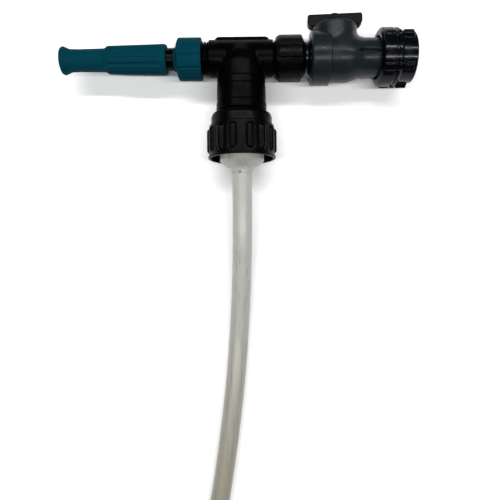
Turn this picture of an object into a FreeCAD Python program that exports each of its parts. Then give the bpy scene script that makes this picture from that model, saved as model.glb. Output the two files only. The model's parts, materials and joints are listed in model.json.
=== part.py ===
"""Gravel vacuum siphon driven by a tap.

Water comes in through the swivel tap nut, passes a quarter-turn ball valve and a jet inside the tee,
and leaves through the twist nozzle. The jet draws water up the clear hose that hangs from the tee's
branch, and so lifts dirt out of the gravel through the gravel tube at the hose's far end.

Frame: millimetres, +Z up, the set lying on a table. The origin is the centre of the tap nut's mouth.
The arm runs from there along -X, the hose branch points along -Y and the valve handle along +Y.
"""

import FreeCAD, Part  # noqa: E401  (FreeCAD has to be loaded before Part)
import math
import os
import re

import Sketcher
from FreeCAD import Placement, Rotation, Vector

TOLERANCE = 1e-6

# ---------------------------------------------------------------------------------------------
# Driving dimensions, in millimetres and degrees. Each is a cell of the sheet, with its own alias.
# ---------------------------------------------------------------------------------------------
SIZES = {
    # clearances
    "loose": 0.3,  # between pieces that turn or slide past each other
    "snug": 0.1,  # between pieces that are pushed or glued together
    "running": 0.05,  # a shaft in its hole
    # garden hose thread on both ends of the tee
    "thread_crest": 13.4,
    "thread_depth": 1.2,
    "thread_pitch": 2.21,
    "thread_turns": 5,
    "flow_bore": 7.5,
    "washer_thick": 2.4,
    # tap nut
    "tap_nut_length": 28.0,
    "tap_nut_radius": 22.8,
    "tap_ridge": 2.0,
    "tap_front_wall": 3.05,
    "tap_thread_radius": 16.75,
    "tap_socket_depth": 15.0,
    "tap_washer_thick": 3.0,
    "tap_hole_gap": 1.5,
    "tap_rear_wall": 2.6,
    "tap_rib_round": 2.4,
    "tap_rib_count": 5,
    "tap_rib_turn": 34.0,
    "tap_band": 2.3,
    # valve
    "valve_reach": 43.5,  # from the valve's end face to the ball's centre
    "valve_neck_radius": 15.1,
    "belly_wall": 2.3,
    "valve_belly_reach": 8.5,
    "valve_taper": 14.0,
    "shell_wall": 2.9,
    "valve_wide_bore": 11.0,
    "cap_wall": 4.4,
    "cap_reach": 8.1,
    "cap_front": 5.2,
    "cap_lip": 2.6,
    "plug_wall": 0.9,
    "bonnet_radius": 17.6,
    "bonnet_rise": 11.9,
    "recess_length": 19.6,
    "recess_width": 4.4,
    "recess_reach": 25.3,
    "recess_depth": 1.6,
    "ball_radius": 12.3,
    "seat_wall": 0.8,
    "seat_lip": 0.7,
    "seat_front": 6.0,
    "stem_radius": 5.0,
    "stem_tang": 4.2,
    "stem_in_handle": 6.0,
    "o_ring_round": 0.9,
    "stem_ring_rise": 5.2,
    "handle_length": 43.3,
    "handle_width": 10.0,
    "handle_height": 9.6,
    "handle_hub": 8.0,
    "handle_corner": 3.0,
    "handle_turn": 4.6,  # how far the handle stands from fully open
    "screw_head": 3.4,
    "screw_shank": 1.5,
    "screw_length": 12.0,
    "screw_pip": 0.9,
    "retainer_reach": 2.9,
    "retainer_thick": 2.6,
    "retainer_depth": 1.3,
    "retainer_place": 3.2,
    # neck between valve and coupling nut
    "neck_wall": 3.0,
    "neck_straight": 2.4,
    "neck_flare": 2.5,
    "neck_gap": 4.6,
    # coupling nut and the flanged tail that it pulls against the tee
    "coupling_length": 22.8,
    "coupling_wall": 4.1,
    "coupling_lip": 2.6,
    "coupling_chamfer": 3.1,
    "coupling_rear_wall": 6.7,
    "coupling_rear_cone": 2.7,
    "coupling_groove": 1.9,
    "coupling_groove_count": 9,
    "coupling_groove_turn": 20.0,
    "tail_wall": 2.0,
    "flange_thick": 3.5,
    # tee
    "tee_half": 37.5,
    "tee_shoulder_step": 1.1,
    "thread_reach": 12.0,
    "tee_wall": 2.5,
    "tee_throat_step": 1.7,
    "tee_pad_end": 16.05,
    "tee_pad_width": 13.0,
    "tee_pad_rise": 1.1,
    "branch_radius": 19.6,
    "branch_dome_drop": 7.5,
    "branch_ledge": 0.5,
    "branch_ledge_one": 18.1,
    "branch_ledge_two": 24.0,
    "branch_band_start": 36.5,
    "branch_band_end": 42.6,
    "spigot_wall": 2.9,
    "flange_seat_step": 1.6,
    "flange_seat_end": 53.2,
    "spigot_step": 4.2,
    "spigot_end": 76.0,
    "jet_past": 6.5,
    "jet_barrel": 22.0,
    "jet_tip_radius": 5.0,
    "jet_wall": 1.7,
    "jet_hole": 3.0,
    # union nut on the branch
    "union_length": 37.6,
    "union_collar": 1.9,
    "union_shoulder_step": 0.7,
    "union_shoulder": 13.1,
    "union_wall": 1.3,
    "union_rim_step": 0.8,
    "union_rim": 1.8,
    "union_room": 5.4,
    "union_top_wall": 3.2,
    "union_rib_round": 2.0,
    "union_rib_start": 15.7,
    "union_rib_length": 18.9,
    "union_rib_count": 14,
    "flange_gap": 1.7,
    "branch_flange_start": 46.6,
    "branch_flange_thick": 3.4,
    # hose cuff
    "cuff_start": 53.6,
    "cuff_straight": 29.0,
    "cuff_wall": 2.1,
    "cuff_length": 38.4,
    "cuff_neck_wall": 0.6,
    # nozzle
    "nozzle_nut_length": 22.2,
    "nozzle_nut_wall": 2.8,
    "nozzle_nut_overlap": 6.2,
    "nozzle_nut_cone": 18.4,
    "nozzle_collar_wall": 1.8,
    "nozzle_collar": 1.5,
    "nozzle_nut_groove": 1.3,
    "nozzle_nut_grooves": 10,
    "nozzle_nut_turn": 6.0,
    "nozzle_tail_radius": 7.4,
    "nozzle_tail_length": 22.5,
    "nozzle_bore": 5.0,
    "core_wall": 1.4,
    "core_length": 65.2,
    "core_wide": 41.2,
    "core_tip_start": 58.2,
    "core_slim_radius": 6.2,
    "core_tip_radius": 2.6,
    "core_side_hole": 1.6,
    "core_ring_place": 36.0,
    "sleeve_gap": 5.8,
    "sleeve_length": 84.1,
    "sleeve_wall": 2.6,
    "sleeve_grip_end_radius": 10.5,
    "sleeve_grip": 47.7,
    "sleeve_step": 1.3,
    "sleeve_barrel_radius": 8.8,
    "sleeve_flare_start": 79.2,
    "sleeve_lip_radius": 10.3,
    "sleeve_bore_end": 42.5,
    "sleeve_water_gap": 0.6,
    "sleeve_seat": 58.2,
    "sleeve_throat_radius": 3.4,
    "sleeve_throat": 64.7,
    "sleeve_throat_end": 68.7,
    "sleeve_mouth_radius": 8.6,
    "sleeve_flute": 1.2,
    "sleeve_flute_count": 10,
    "sleeve_rim": 4.0,
    # hose, its coil and what is on its far end
    "hose_radius": 7.95,
    "coil_mean_radius": 94.0,
    "coil_half_width": 30.3,
    "coil_layers": 4,
    "coil_centre_right": 68.0,
    "coil_centre_down": 512.0,
    "tie_thick": 1.6,
    "tie_width": 20.0,
    "tie_slack": 1.0,  # room for the coil's round sides inside a flat strap
    "gravel_tube_radius": 22.5,
    "gravel_tube_wall": 2.0,
    "gravel_tube_length": 228.0,
    "gravel_rim_step": 2.5,
    "gravel_rim": 5.0,
    "gravel_cap_length": 42.0,
    "gravel_cap_skirt": 20.0,
    "gravel_neck_wall": 3.05,
    "gravel_cap_socket": 16.0,
    "gravel_cap_down": 520.0,
    "gravel_cap_left": 87.0,
    "guard_thick": 2.0,
    "guard_hole": 2.2,
}

# Sizes that follow from others, so that the pieces go on fitting when one size changes.
FOLLOWS = {
    "thread_root": "thread_crest - thread_depth",
    "nut_bore": "thread_crest + loose",
    "flange_radius": "thread_crest - 2 * snug",
    "tap_rear_hole": "valve_neck_radius + tap_hole_gap",
    "retainer_radius": "valve_neck_radius + retainer_reach",
    "seat_outer": "ball_radius + seat_wall",
    "seat_inner": "flow_bore + seat_lip",
    "seat_back": "ball_radius + loose",
    "neck_plug_radius": "seat_outer + plug_wall",
    "valve_shell_radius": "neck_plug_radius + shell_wall",
    "cap_radius": "valve_shell_radius + cap_wall",
    "cap_back": "ball_radius + cap_reach",
    "valve_belly_radius": "valve_shell_radius + belly_wall",
    "stem_ring_height": "ball_radius + stem_ring_rise",
    "bonnet_height": "ball_radius + bonnet_rise",
    "tail_radius": "flow_bore + tail_wall",
    "neck_radius": "tail_radius + neck_wall",
    "neck_flare_radius": "neck_plug_radius + neck_flare",
    "coupling_radius": "nut_bore + coupling_wall",
    "coupling_mouth": "nut_bore + coupling_lip",
    "tee_barrel_radius": "thread_crest + tee_shoulder_step",
    "tee_pad_top": "tee_barrel_radius + tee_pad_rise",
    "tee_shoulder": "tee_half - thread_reach",
    "tee_pad_length": "2 * (tee_half - tee_pad_end)",
    "tee_bore": "thread_root - tee_wall",
    "jet_length": "tee_half + jet_past",
    "tee_throat": "tee_bore - tee_throat_step",
    "jet_bore": "tee_bore - jet_wall",
    "spigot_radius": "branch_radius - spigot_step",
    "flange_seat_radius": "branch_radius - flange_seat_step",
    "branch_bore": "spigot_radius - spigot_wall",
    "cuff_radius": "spigot_radius + cuff_wall + 2 * snug",
    "union_start": "branch_band_end + loose",
    "union_top_radius": "branch_radius + union_collar",
    "union_bore": "branch_radius + union_room",
    "union_shoulder_radius": "union_bore - union_shoulder_step",
    "union_radius": "union_bore + union_wall",
    "union_rim_radius": "union_radius + union_rim_step",
    "union_rib_centre": "union_radius - 2 * snug",
    "branch_flange_radius": "union_bore - flange_gap",
    "union_washer_radius": "branch_flange_radius",
    "nozzle_nut_radius": "nut_bore + nozzle_nut_wall",
    "nozzle_collar_radius": "nozzle_tail_radius + nozzle_collar_wall",
    "core_radius": "nozzle_tail_radius + core_wall",
    "sleeve_bore": "core_radius + loose",
    "sleeve_slim_bore": "core_slim_radius + sleeve_water_gap",
    "sleeve_grip_radius": "sleeve_bore + sleeve_wall",
    "gravel_rim_radius": "gravel_tube_radius + gravel_rim_step",
    "gravel_cap_neck": "hose_radius + gravel_neck_wall",
}

doc = FreeCAD.newDocument("gravel_vacuum_siphon")
sizes = doc.addObject("Spreadsheet::Sheet", "sizes")
for row, (alias, number) in enumerate(SIZES.items(), start=1):
    sizes.set(f"A{row}", alias)
    sizes.set(f"B{row}", str(number))
    sizes.setAlias(f"B{row}", alias)
doc.recompute()

NODES = []


# ---------------------------------------------------------------------------------------------
# Places along the arm, worked out from the sizes. X runs from the tap nut's mouth.
# ---------------------------------------------------------------------------------------------
VALVE_END = "-(tap_socket_depth + tap_washer_thick)"
BALL = f"{VALVE_END} - valve_reach"
CAP = f"{BALL} - cap_back"
COUPLING_END = f"{CAP} - neck_gap"
TAIL_FLANGE = f"{COUPLING_END} - coupling_rear_wall - loose"
TEE_END = f"{TAIL_FLANGE} - flange_thick - washer_thick - snug"
TEE = f"{TEE_END} - tee_half"
TEE_LEFT = f"{TEE} - tee_half"
NOZZLE_FLANGE = f"{TEE_LEFT} - washer_thick - snug"
NOZZLE_NUT = f"{TEE_LEFT} + nozzle_nut_overlap"
NOZZLE_NUT_END = f"{NOZZLE_NUT} - nozzle_nut_length"
CORE = f"{NOZZLE_NUT_END} - loose"
SLEEVE = f"{NOZZLE_NUT_END} - sleeve_gap"
FLOOR = "-(union_rib_centre * cos(180 / union_rib_count) + union_rib_round)"
ON_FLOOR = f"{FLOOR} + hose_radius"
IN_COIL = f"{ON_FLOOR} + tie_thick"
ON_COIL = f"{IN_COIL} + 2 * hose_radius * (coil_layers - 1)"
TUBE_AXIS = f"{FLOOR} + gravel_rim_radius"

# The hose from the cuff to the coil, as (right of the branch, from the arm axis, height).
HOSE_OUT = [
    (0.0, -88.0, "0"),
    (0.0, -130.0, "0"),
    (-1.3, -176.0, f"({ON_FLOOR}) * 0.6155"),
    (-3.8, -220.0, ON_FLOOR),
    (-7.3, -262.0, ON_FLOOR),
    (-12.4, -304.0, ON_FLOOR),
    (-18.9, -348.0, ON_FLOOR),
    (-27.5, -396.0, ON_FLOOR),
    (-38.0, -448.0, f"{IN_COIL} - 0.3"),
    (-45.0, -500.0, IN_COIL),
]
# The hose from the coil's top layer down to the gravel tube's cap.
HOSE_BACK = [
    (87.8, -399.4, ON_COIL),
    (55.0, -394.5, f"{ON_COIL} - 1"),
    (4.5, -395.0, f"{ON_COIL} - 9.8"),
    (-53.5, -428.5, f"{TUBE_AXIS} + 8.95"),
    (-87.0, -486.5, TUBE_AXIS),
    (-87.0, -536.0, TUBE_AXIS),
]


def bound(text):
    """An expression on the sheet's aliases, in the form that a property of another object takes."""
    text = str(text)
    while any(word in FOLLOWS for word in re.findall(r"[a-z_]+", text)):
        text = re.sub(r"[a-z_]+", lambda m: f"({FOLLOWS[m[0]]})" if m[0] in FOLLOWS else m[0], text)
    return re.sub(r"\b([a-z][a-z_]*)\b(?!\()", r"sizes.\1", text)


def size(text):
    """The value of an expression on the sheet's aliases."""
    value = sizes.evalExpression(bound(text))
    return float(getattr(value, "Value", value))


# ---------------------------------------------------------------------------------------------
# Building blocks
# ---------------------------------------------------------------------------------------------
HEADINGS = {"+X": 0, "+Y": 90, "-X": 180, "-Y": -90}


def keep(thing, node):
    """Names a finished sub-part."""
    thing.Label = node
    NODES.append(thing)
    return thing


def place(thing, at, heading="+X", tilt=0.0):
    """Binds a placement: where the local origin is, which way local X points, and a tilt about row Y."""
    turn = Rotation(Vector(0, 1, 0), tilt).multiply(
        Rotation(Vector(0, 0, 1), HEADINGS[heading])
    )
    thing.Placement = Placement(Vector(*(size(part) for part in at)), turn)
    for letter, part in zip("xyz", at):
        thing.setExpression(f"Placement.Base.{letter}", bound(part))


def new_body(node, at=("0", "0", "0"), heading="+X", tilt=0.0):
    body = doc.addObject("PartDesign::Body", node)
    place(body, at, heading, tilt)
    return keep(body, node)


def sketch_on(body, role, offset="0"):
    """A sketch on one of the body's own planes, moved along the plane's normal by offset."""
    plane = next(p for p in body.Origin.OriginFeatures if p.Role == role)
    sketch = body.newObject("Sketcher::SketchObject", f"{body.Name}_sketch")
    sketch.AttachmentSupport = [(plane, "")]
    sketch.MapMode = "FlatFace"
    sketch.AttachmentOffset = Placement(Vector(0, 0, size(offset)), Rotation())
    sketch.setExpression("AttachmentOffset.Base.z", bound(offset))
    return sketch


def hold(sketch, edge, end, across, up):
    """Ties one end of an edge to two expressions, measured from the sketch's origin."""
    for kind, text in (("DistanceX", across), ("DistanceY", up)):
        index = sketch.addConstraint(
            Sketcher.Constraint(kind, -1, 1, edge, end, size(text))
        )
        sketch.setExpression(f"Constraints[{index}]", bound(text))


def arc_between(start, end, radius, hollow):
    """The shorter arc between two points, and whether it runs from start to end."""
    middle, chord = (start + end) * 0.5, end - start
    rise = math.sqrt(max(radius**2 - chord.Length**2 / 4, 0.0))
    normal = Vector(-chord.y, chord.x, 0).normalize()
    centres = sorted((middle + normal * s * rise for s in (1, -1)), key=lambda c: c.y)
    centre = centres[1 if hollow else 0]
    first, last = (math.atan2(p.y - centre.y, p.x - centre.x) for p in (start, end))
    forward = (last - first) % (2 * math.pi) < math.pi
    angles = (first, last) if forward else (last, first)
    circle = Part.Circle(centre, Vector(0, 0, 1), radius)
    return Part.ArcOfCircle(circle, *angles), forward


def outline(sketch, corners):
    """A closed outline through corners of (along, away). A corner with a third item ends an arc:
    that radius, and a fourth item, "hollow", where the arc curves towards larger distances."""
    points = [Vector(size(c[0]), size(c[1]), 0) for c in corners]
    ends = []
    for index, corner in enumerate(corners):
        start, end = points[index - 1], points[index]
        if len(corner) == 2:
            edge = sketch.addGeometry(Part.LineSegment(start, end), False)
            ends.append((edge, 1, 2))
            continue
        arc, forward = arc_between(start, end, size(corner[2]), corner[3:] == ("hollow",))
        edge = sketch.addGeometry(arc, False)
        ends.append((edge, 1, 2) if forward else (edge, 2, 1))
        radius = sketch.addConstraint(Sketcher.Constraint("Radius", edge, size(corner[2])))
        sketch.setExpression(f"Constraints[{radius}]", bound(corner[2]))
    for index, corner in enumerate(corners):
        edge, _, finish = ends[index]
        following, begin, _ = ends[(index + 1) % len(corners)]
        sketch.addConstraint(Sketcher.Constraint("Coincident", edge, finish, following, begin))
        hold(sketch, edge, finish, corner[0], corner[1])


def circle(sketch, across, up, radius):
    """A circle whose centre and radius are tied to expressions."""
    centre = Vector(size(across), size(up), 0)
    edge = sketch.addGeometry(Part.Circle(centre, Vector(0, 0, 1), size(radius)), False)
    index = sketch.addConstraint(Sketcher.Constraint("Radius", edge, size(radius)))
    sketch.setExpression(f"Constraints[{index}]", bound(radius))
    hold(sketch, edge, 3, across, up)


def rectangle(sketch, half_width, low, high):
    """An upright rectangle, symmetric about the sketch's vertical axis."""
    corners = [(half_width, low), (half_width, high)]
    corners += [(f"-({half_width})", high), (f"-({half_width})", low)]
    outline(sketch, corners)


def turned(body, corners, kind="Revolution", axis="H_Axis"):
    """Turns an outline about an axis of its sketch: material with Revolution, a cut with Groove."""
    sketch = sketch_on(body, "XY_Plane")
    outline(sketch, corners)
    feature = body.newObject(f"PartDesign::{kind}", f"{body.Name}_turned")
    feature.Profile = sketch
    feature.ReferenceAxis = (sketch, [axis])
    feature.Angle = 360
    return feature


def raised(body, sketch, length, kind="Pad", reverse=False):
    """Pads a sketch, or pockets it, by length."""
    feature = body.newObject(f"PartDesign::{kind}", f"{body.Name}_{kind.lower()}")
    feature.Profile = sketch
    feature.Length = size(length)
    feature.setExpression("Length", bound(length))
    feature.Reversed = reverse
    return feature


def around(body, feature, count):
    """Repeats a feature round the axis that its sketch's normal gives."""
    pattern = body.newObject("PartDesign::PolarPattern", f"{body.Name}_ring")
    pattern.Originals = [feature]
    pattern.Axis = (feature.Profile[0], ["N_Axis"])
    pattern.Angle = 360
    pattern.Occurrences = int(size(count))
    pattern.setExpression("Occurrences", bound(count))
    body.Tip = pattern
    return pattern


def ribs(body, count, centre, rounding, start, length, turn="0", kind="Pad"):
    """Round ribs, or flutes with Pocket, along local X. Turn is measured from local +Z to local +Y."""
    begin = start if kind == "Pad" else f"{start} + {length}"
    sketch = sketch_on(body, "YZ_Plane", begin)
    circle(sketch, f"({centre}) * sin({turn})", f"({centre}) * cos({turn})", rounding)
    return around(body, raised(body, sketch, length, kind), count)


def ring(node, at, heading, inner, outer, length):
    """A flat washer or bush."""
    body = new_body(node, at, heading)
    turned(body, [("0", inner), ("0", outer), (length, outer), (length, inner)])
    return body


def torus(node, at, heading, middle, rounding):
    """An O-ring lying across the heading."""
    body = new_body(node, at, heading)
    sketch = sketch_on(body, "XY_Plane")
    circle(sketch, "0", middle, rounding)
    feature = body.newObject("PartDesign::Revolution", f"{node}_turned")
    feature.Profile = sketch
    feature.ReferenceAxis = (sketch, ["H_Axis"])
    feature.Angle = 360
    return body


def thread(start, direction):
    """Corners of a ridged thread: from a shoulder outwards for +1, from the end back to it for -1."""
    corners = []
    turns = int(size("thread_turns"))
    for index in range(turns):
        step = index if direction > 0 else turns - 1 - index
        low = f"{start} + {step} * thread_pitch"
        ridge = [
            (f"{low} + 0.15 * thread_pitch", "thread_root"),
            (f"{low} + 0.45 * thread_pitch", "thread_crest"),
            (f"{low} + 0.6 * thread_pitch", "thread_crest"),
            (f"{low} + 0.9 * thread_pitch", "thread_root"),
        ]
        corners += ridge if direction > 0 else ridge[::-1]
    return corners


# ---------------------------------------------------------------------------------------------
# Tap nut and valve
# ---------------------------------------------------------------------------------------------
def tap_nut():
    """Swivel nut with two shallow bands round it and five ribs along it."""
    body = new_body("tap_nut", ("-tap_nut_length", "0", "0"))
    cavity_end = "tap_nut_length - tap_socket_depth - tap_washer_thick - 0.5"
    recess_end = "tap_nut_length - tap_socket_depth"
    middle = "tap_nut_length * 0.49"
    front = "tap_thread_radius + tap_front_wall"
    corners = [
        ("0", "tap_rear_hole"),
        ("0", "tap_nut_radius - 1.2"),
        ("1.2", "tap_nut_radius"),
        (f"{middle} - 1.5 * tap_band", "tap_nut_radius"),
        (f"{middle} - 1.5 * tap_band", "tap_nut_radius - tap_ridge"),
        (f"{middle} - 0.5 * tap_band", "tap_nut_radius - tap_ridge"),
        (f"{middle} - 0.5 * tap_band", "tap_nut_radius"),
        (f"{middle} + 0.5 * tap_band", "tap_nut_radius"),
        (f"{middle} + 0.5 * tap_band", front),
        ("tap_nut_length - 1", front),
        ("tap_nut_length", f"{front} - 1"),
        ("tap_nut_length", "tap_thread_radius"),
        (recess_end, "tap_thread_radius"),
        (recess_end, "retainer_radius + loose"),
        (cavity_end, "retainer_radius + loose"),
        ("tap_rear_wall", "retainer_radius + loose"),
        ("tap_rear_wall", "tap_rear_hole"),
    ]
    turned(body, corners)
    ribs(
        body,
        "tap_rib_count",
        "tap_nut_radius - tap_rib_round * 0.55",
        "tap_rib_round",
        "1.4",
        "tap_nut_length - 2.8",
        "tap_rib_turn",
    )


def tap_seals():
    """The washer that the tap's end presses on, and the split ring that holds the nut on the valve."""
    ring(
        "tap_washer",
        (f"{VALVE_END}", "0", "0"),
        "+X",
        "valve_wide_bore",
        "tap_thread_radius - loose",
        "tap_washer_thick - snug",
    )
    ring(
        "tap_retainer",
        ("-tap_nut_length + retainer_place", "0", "0"),
        "+X",
        "valve_neck_radius - retainer_depth + snug",
        "retainer_radius",
        "retainer_thick",
    )


def valve_body():
    """Grey valve shell: belly, tapered neck with a grip recess, and the bonnet that carries the stem."""
    body = new_body("valve_body", (BALL, "0", "0"))
    retainer = "valve_reach + tap_socket_depth + tap_washer_thick - tap_nut_length + retainer_place"
    shell_start = "-(cap_back - cap_lip - snug)"
    turned(
        body,
        [
            (shell_start, "seat_outer + snug"),
            (shell_start, "valve_shell_radius"),
            ("-(cap_front - snug)", "valve_shell_radius"),
            ("-(cap_front - snug)", "valve_belly_radius"),
            ("valve_belly_reach", "valve_belly_radius"),
            ("valve_belly_reach + valve_taper", "valve_neck_radius"),
            (f"{retainer} - snug", "valve_neck_radius"),
            (f"{retainer} - snug", "valve_neck_radius - retainer_depth"),
            (f"{retainer} + retainer_thick + snug", "valve_neck_radius - retainer_depth"),
            (f"{retainer} + retainer_thick + snug", "valve_neck_radius"),
            ("valve_reach", "valve_neck_radius"),
            ("valve_reach", "valve_wide_bore"),
            ("seat_back + 6", "valve_wide_bore"),
            ("seat_back + 2", "flow_bore"),
            ("seat_back + snug", "flow_bore"),
            ("seat_back + snug", "seat_outer + snug"),
        ],
    )
    bonnet = sketch_on(body, "XZ_Plane")
    circle(bonnet, "0", "0", "bonnet_radius")
    raised(body, bonnet, "bonnet_height", reverse=True)
    ball_room = [
        (shell_start, "0"),
        (shell_start, "neck_plug_radius + snug"),
        ("-(seat_back + snug)", "neck_plug_radius + snug"),
        ("-(seat_back + snug)", "seat_outer + snug"),
        ("seat_back + snug", "seat_outer + snug"),
        ("seat_back + snug", "0"),
    ]
    turned(body, ball_room, "Groove")
    ring_top = "stem_ring_height + o_ring_round + snug"
    ring_low = "stem_ring_height - o_ring_round - snug"
    stem_hole = [
        ("0", "0"),
        ("stem_radius + running", "0"),
        ("stem_radius + running", ring_low),
        ("stem_radius + 2 * o_ring_round + 2 * snug", ring_low),
        ("stem_radius + 2 * o_ring_round + 2 * snug", ring_top),
        ("stem_radius + running", ring_top),
        ("stem_radius + running", "bonnet_height"),
        ("0", "bonnet_height"),
    ]
    turned(body, stem_hole, "Groove", "V_Axis")
    lens = sketch_on(body, "XY_Plane", "valve_belly_radius")
    lens_round = "(recess_length^2 / 4 + recess_width^2 / 4) / recess_width"
    outline(
        lens,
        [
            ("recess_reach + recess_length / 2", "0", lens_round, "hollow"),
            ("recess_reach - recess_length / 2", "0", lens_round),
        ],
    )
    raised(body, lens, "valve_belly_radius - valve_neck_radius + recess_depth", "Pocket")


def valve_cap():
    """Grey ring over the valve's inlet shell, cut away round the bonnet."""
    body = new_body("valve_cap", (BALL, "0", "0"))
    turned(
        body,
        [
            ("-cap_back", "neck_plug_radius + snug"),
            ("-cap_back", "cap_radius - 2"),
            ("-cap_back + 2", "cap_radius", "2"),
            ("-cap_front", "cap_radius"),
            ("-cap_front", "valve_shell_radius + snug"),
            ("-cap_back + cap_lip", "valve_shell_radius + snug"),
            ("-cap_back + cap_lip", "neck_plug_radius + snug"),
        ],
    )
    bonnet = sketch_on(body, "XZ_Plane")
    circle(bonnet, "0", "0", "bonnet_radius + snug")
    raised(body, bonnet, "cap_radius + 1", "Pocket")


def valve_neck():
    """Black neck piece: it flares to the cap, and its plug presses the inlet seat on the ball."""
    body = new_body("valve_neck", (f"{COUPLING_END} + loose", "0", "0"))
    face = "neck_gap - loose - snug"
    turned(
        body,
        [
            ("0", "tail_radius + running"),
            ("0", "neck_radius"),
            ("neck_straight", "neck_radius"),
            (face, "neck_flare_radius"),
            (face, "neck_plug_radius"),
            ("neck_gap - loose + cap_back - seat_back - snug", "neck_plug_radius"),
            ("neck_gap - loose + cap_back - seat_back - snug", "flow_bore"),
            ("6.5", "flow_bore"),
            ("6.5", "tail_radius + running"),
        ],
    )


def ball_seats():
    """The two seats of the ball, one upstream and one downstream."""
    contact = "ball_radius + running"
    for node, heading in (("ball_seat_outlet", "+X"), ("ball_seat_inlet", "-X")):
        body = new_body(node, (BALL, "0", "0"), heading)
        turned(
            body,
            [
                ("seat_back", "seat_inner"),
                (f"sqrt(({contact})^2 - seat_inner^2)", "seat_inner"),
                ("seat_front", f"sqrt(({contact})^2 - seat_front^2)", contact),
                ("seat_front", "seat_outer"),
                ("seat_back", "seat_outer"),
            ],
        )


def valve_ball():
    """Ball with its bore and the slot that the stem's tang turns it by."""
    body = new_body("valve_ball", (BALL, "0", "0"), tilt=-size("handle_turn"))
    turned(
        body,
        [("-ball_radius", "0"), ("0", "ball_radius", "ball_radius")]
        + [("ball_radius", "0", "ball_radius")],
    )
    flat = "sqrt(ball_radius^2 - flow_bore^2)"
    turned(
        body,
        [("-ball_radius", "0"), ("-ball_radius", "flow_bore")]
        + [("ball_radius", "flow_bore"), ("ball_radius", "0")],
        "Groove",
    )
    slot = sketch_on(body, "YZ_Plane", "ball_radius")
    half = "stem_tang / 2 + running"
    outline(
        slot,
        [
            (f"{flat} - 0.3", f"-({half})"),
            ("ball_radius + 1", f"-({half})"),
            ("ball_radius + 1", half),
            (f"{flat} - 0.3", half),
        ],
    )
    raised(body, slot, "2 * ball_radius", "Pocket")


def valve_stem():
    """Stem with a flat tang below and a screw hole above."""
    top = "bonnet_height + stem_in_handle"
    body = new_body("valve_stem", (BALL, "0", "0"), tilt=-size("handle_turn"))
    turned(
        body,
        [
            ("0", "ball_radius + snug"),
            ("stem_radius", "ball_radius + snug"),
            ("stem_radius", top),
            ("screw_shank + snug", top),
            ("screw_shank + snug", "ball_radius + 4"),
            ("0", "ball_radius + 4"),
        ],
        axis="V_Axis",
    )
    tang = sketch_on(body, "XY_Plane", "-stem_tang / 2")
    outline(
        tang,
        [
            ("-stem_radius * 0.7", "ball_radius + 1"),
            ("stem_radius * 0.7", "ball_radius + 1"),
            ("stem_radius * 0.7", "sqrt(ball_radius^2 - flow_bore^2) + snug"),
            ("-stem_radius * 0.7", "sqrt(ball_radius^2 - flow_bore^2) + snug"),
        ],
    )
    raised(body, tang, "stem_tang")


def valve_handle():
    """Butterfly bar with a round hub, which turns a quarter turn on the bonnet."""
    bottom = "bonnet_height + loose"
    top = f"{bottom} + handle_height"
    body = new_body("valve_handle", (BALL, "0", "0"), tilt=-size("handle_turn"))
    bar = sketch_on(body, "XY_Plane", "-handle_width / 2")
    end, cut = "handle_length / 2", "handle_corner"
    outline(
        bar,
        [
            (f"-{end}", f"{bottom} + {cut}"),
            (f"-{end} + {cut}", bottom),
            (f"{end} - {cut}", bottom),
            (end, f"{bottom} + {cut}"),
            (end, f"{top} - 1"),
            (f"{end} - 1", top),
            (f"-{end} + 1", top),
            (f"-{end}", f"{top} - 1"),
        ],
    )
    raised(body, bar, "handle_width")
    hub = sketch_on(body, "XZ_Plane", f"-({bottom})")
    circle(hub, "0", "0", "handle_hub")
    raised(body, hub, "handle_height", reverse=True)
    socket = "stem_radius + running"
    stem_top = "bonnet_height + stem_in_handle + snug"
    turned(
        body,
        [
            ("0", bottom),
            (socket, bottom),
            (socket, stem_top),
            ("screw_shank + snug", stem_top),
            ("screw_shank + snug", top),
            ("0", top),
        ],
        "Groove",
        "V_Axis",
    )


def handle_screw():
    """Pan-head screw that holds the handle on the stem."""
    seat = "bonnet_height + loose + handle_height"
    body = new_body("handle_screw", (BALL, f"{seat}", "0"), tilt=-size("handle_turn"))
    turned(
        body,
        [
            ("0", "-screw_length"),
            ("screw_shank", "-screw_length"),
            ("screw_shank", "0"),
            ("screw_head", "0"),
            ("screw_head - 0.6", "screw_pip"),
            ("0", "screw_pip"),
        ],
        axis="V_Axis",
    )


# ---------------------------------------------------------------------------------------------
# Coupling between valve and tee
# ---------------------------------------------------------------------------------------------
def coupling_nut():
    """Black nut with nine grooves and a coned rear end."""
    body = new_body("coupling_nut", (f"{COUPLING_END} - coupling_length", "0", "0"))
    shoulder = "coupling_length - coupling_rear_wall"
    turned(
        body,
        [
            ("0", "nut_bore"),
            ("0", "coupling_mouth"),
            ("coupling_chamfer", "coupling_radius"),
            ("coupling_length - coupling_rear_cone", "coupling_radius"),
            ("coupling_length", "neck_radius"),
            ("coupling_length", "tail_radius + loose"),
            (shoulder, "tail_radius + loose"),
            (shoulder, "nut_bore"),
        ],
    )
    ribs(
        body,
        "coupling_groove_count",
        "coupling_radius + coupling_groove * 0.45",
        "coupling_groove",
        "coupling_chamfer",
        "coupling_length",
        "coupling_groove_turn",
        "Pocket",
    )


def coupling_inside():
    """The flanged tail that holds the nut on, and the washer between it and the tee."""
    body = new_body("coupling_tail", (f"{TAIL_FLANGE} - flange_thick", "0", "0"))
    length = "flange_thick + loose + coupling_rear_wall + loose + 6.4"
    turned(
        body,
        [
            ("0", "flow_bore"),
            ("0", "flange_radius"),
            ("flange_thick", "flange_radius"),
            ("flange_thick", "tail_radius"),
            (length, "tail_radius"),
            (length, "flow_bore"),
        ],
    )
    at = (f"{TEE_END} + snug / 2", "0", "0")
    ring("coupling_washer", at, "+X", "flow_bore + 1", "flange_radius", "washer_thick")


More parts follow.
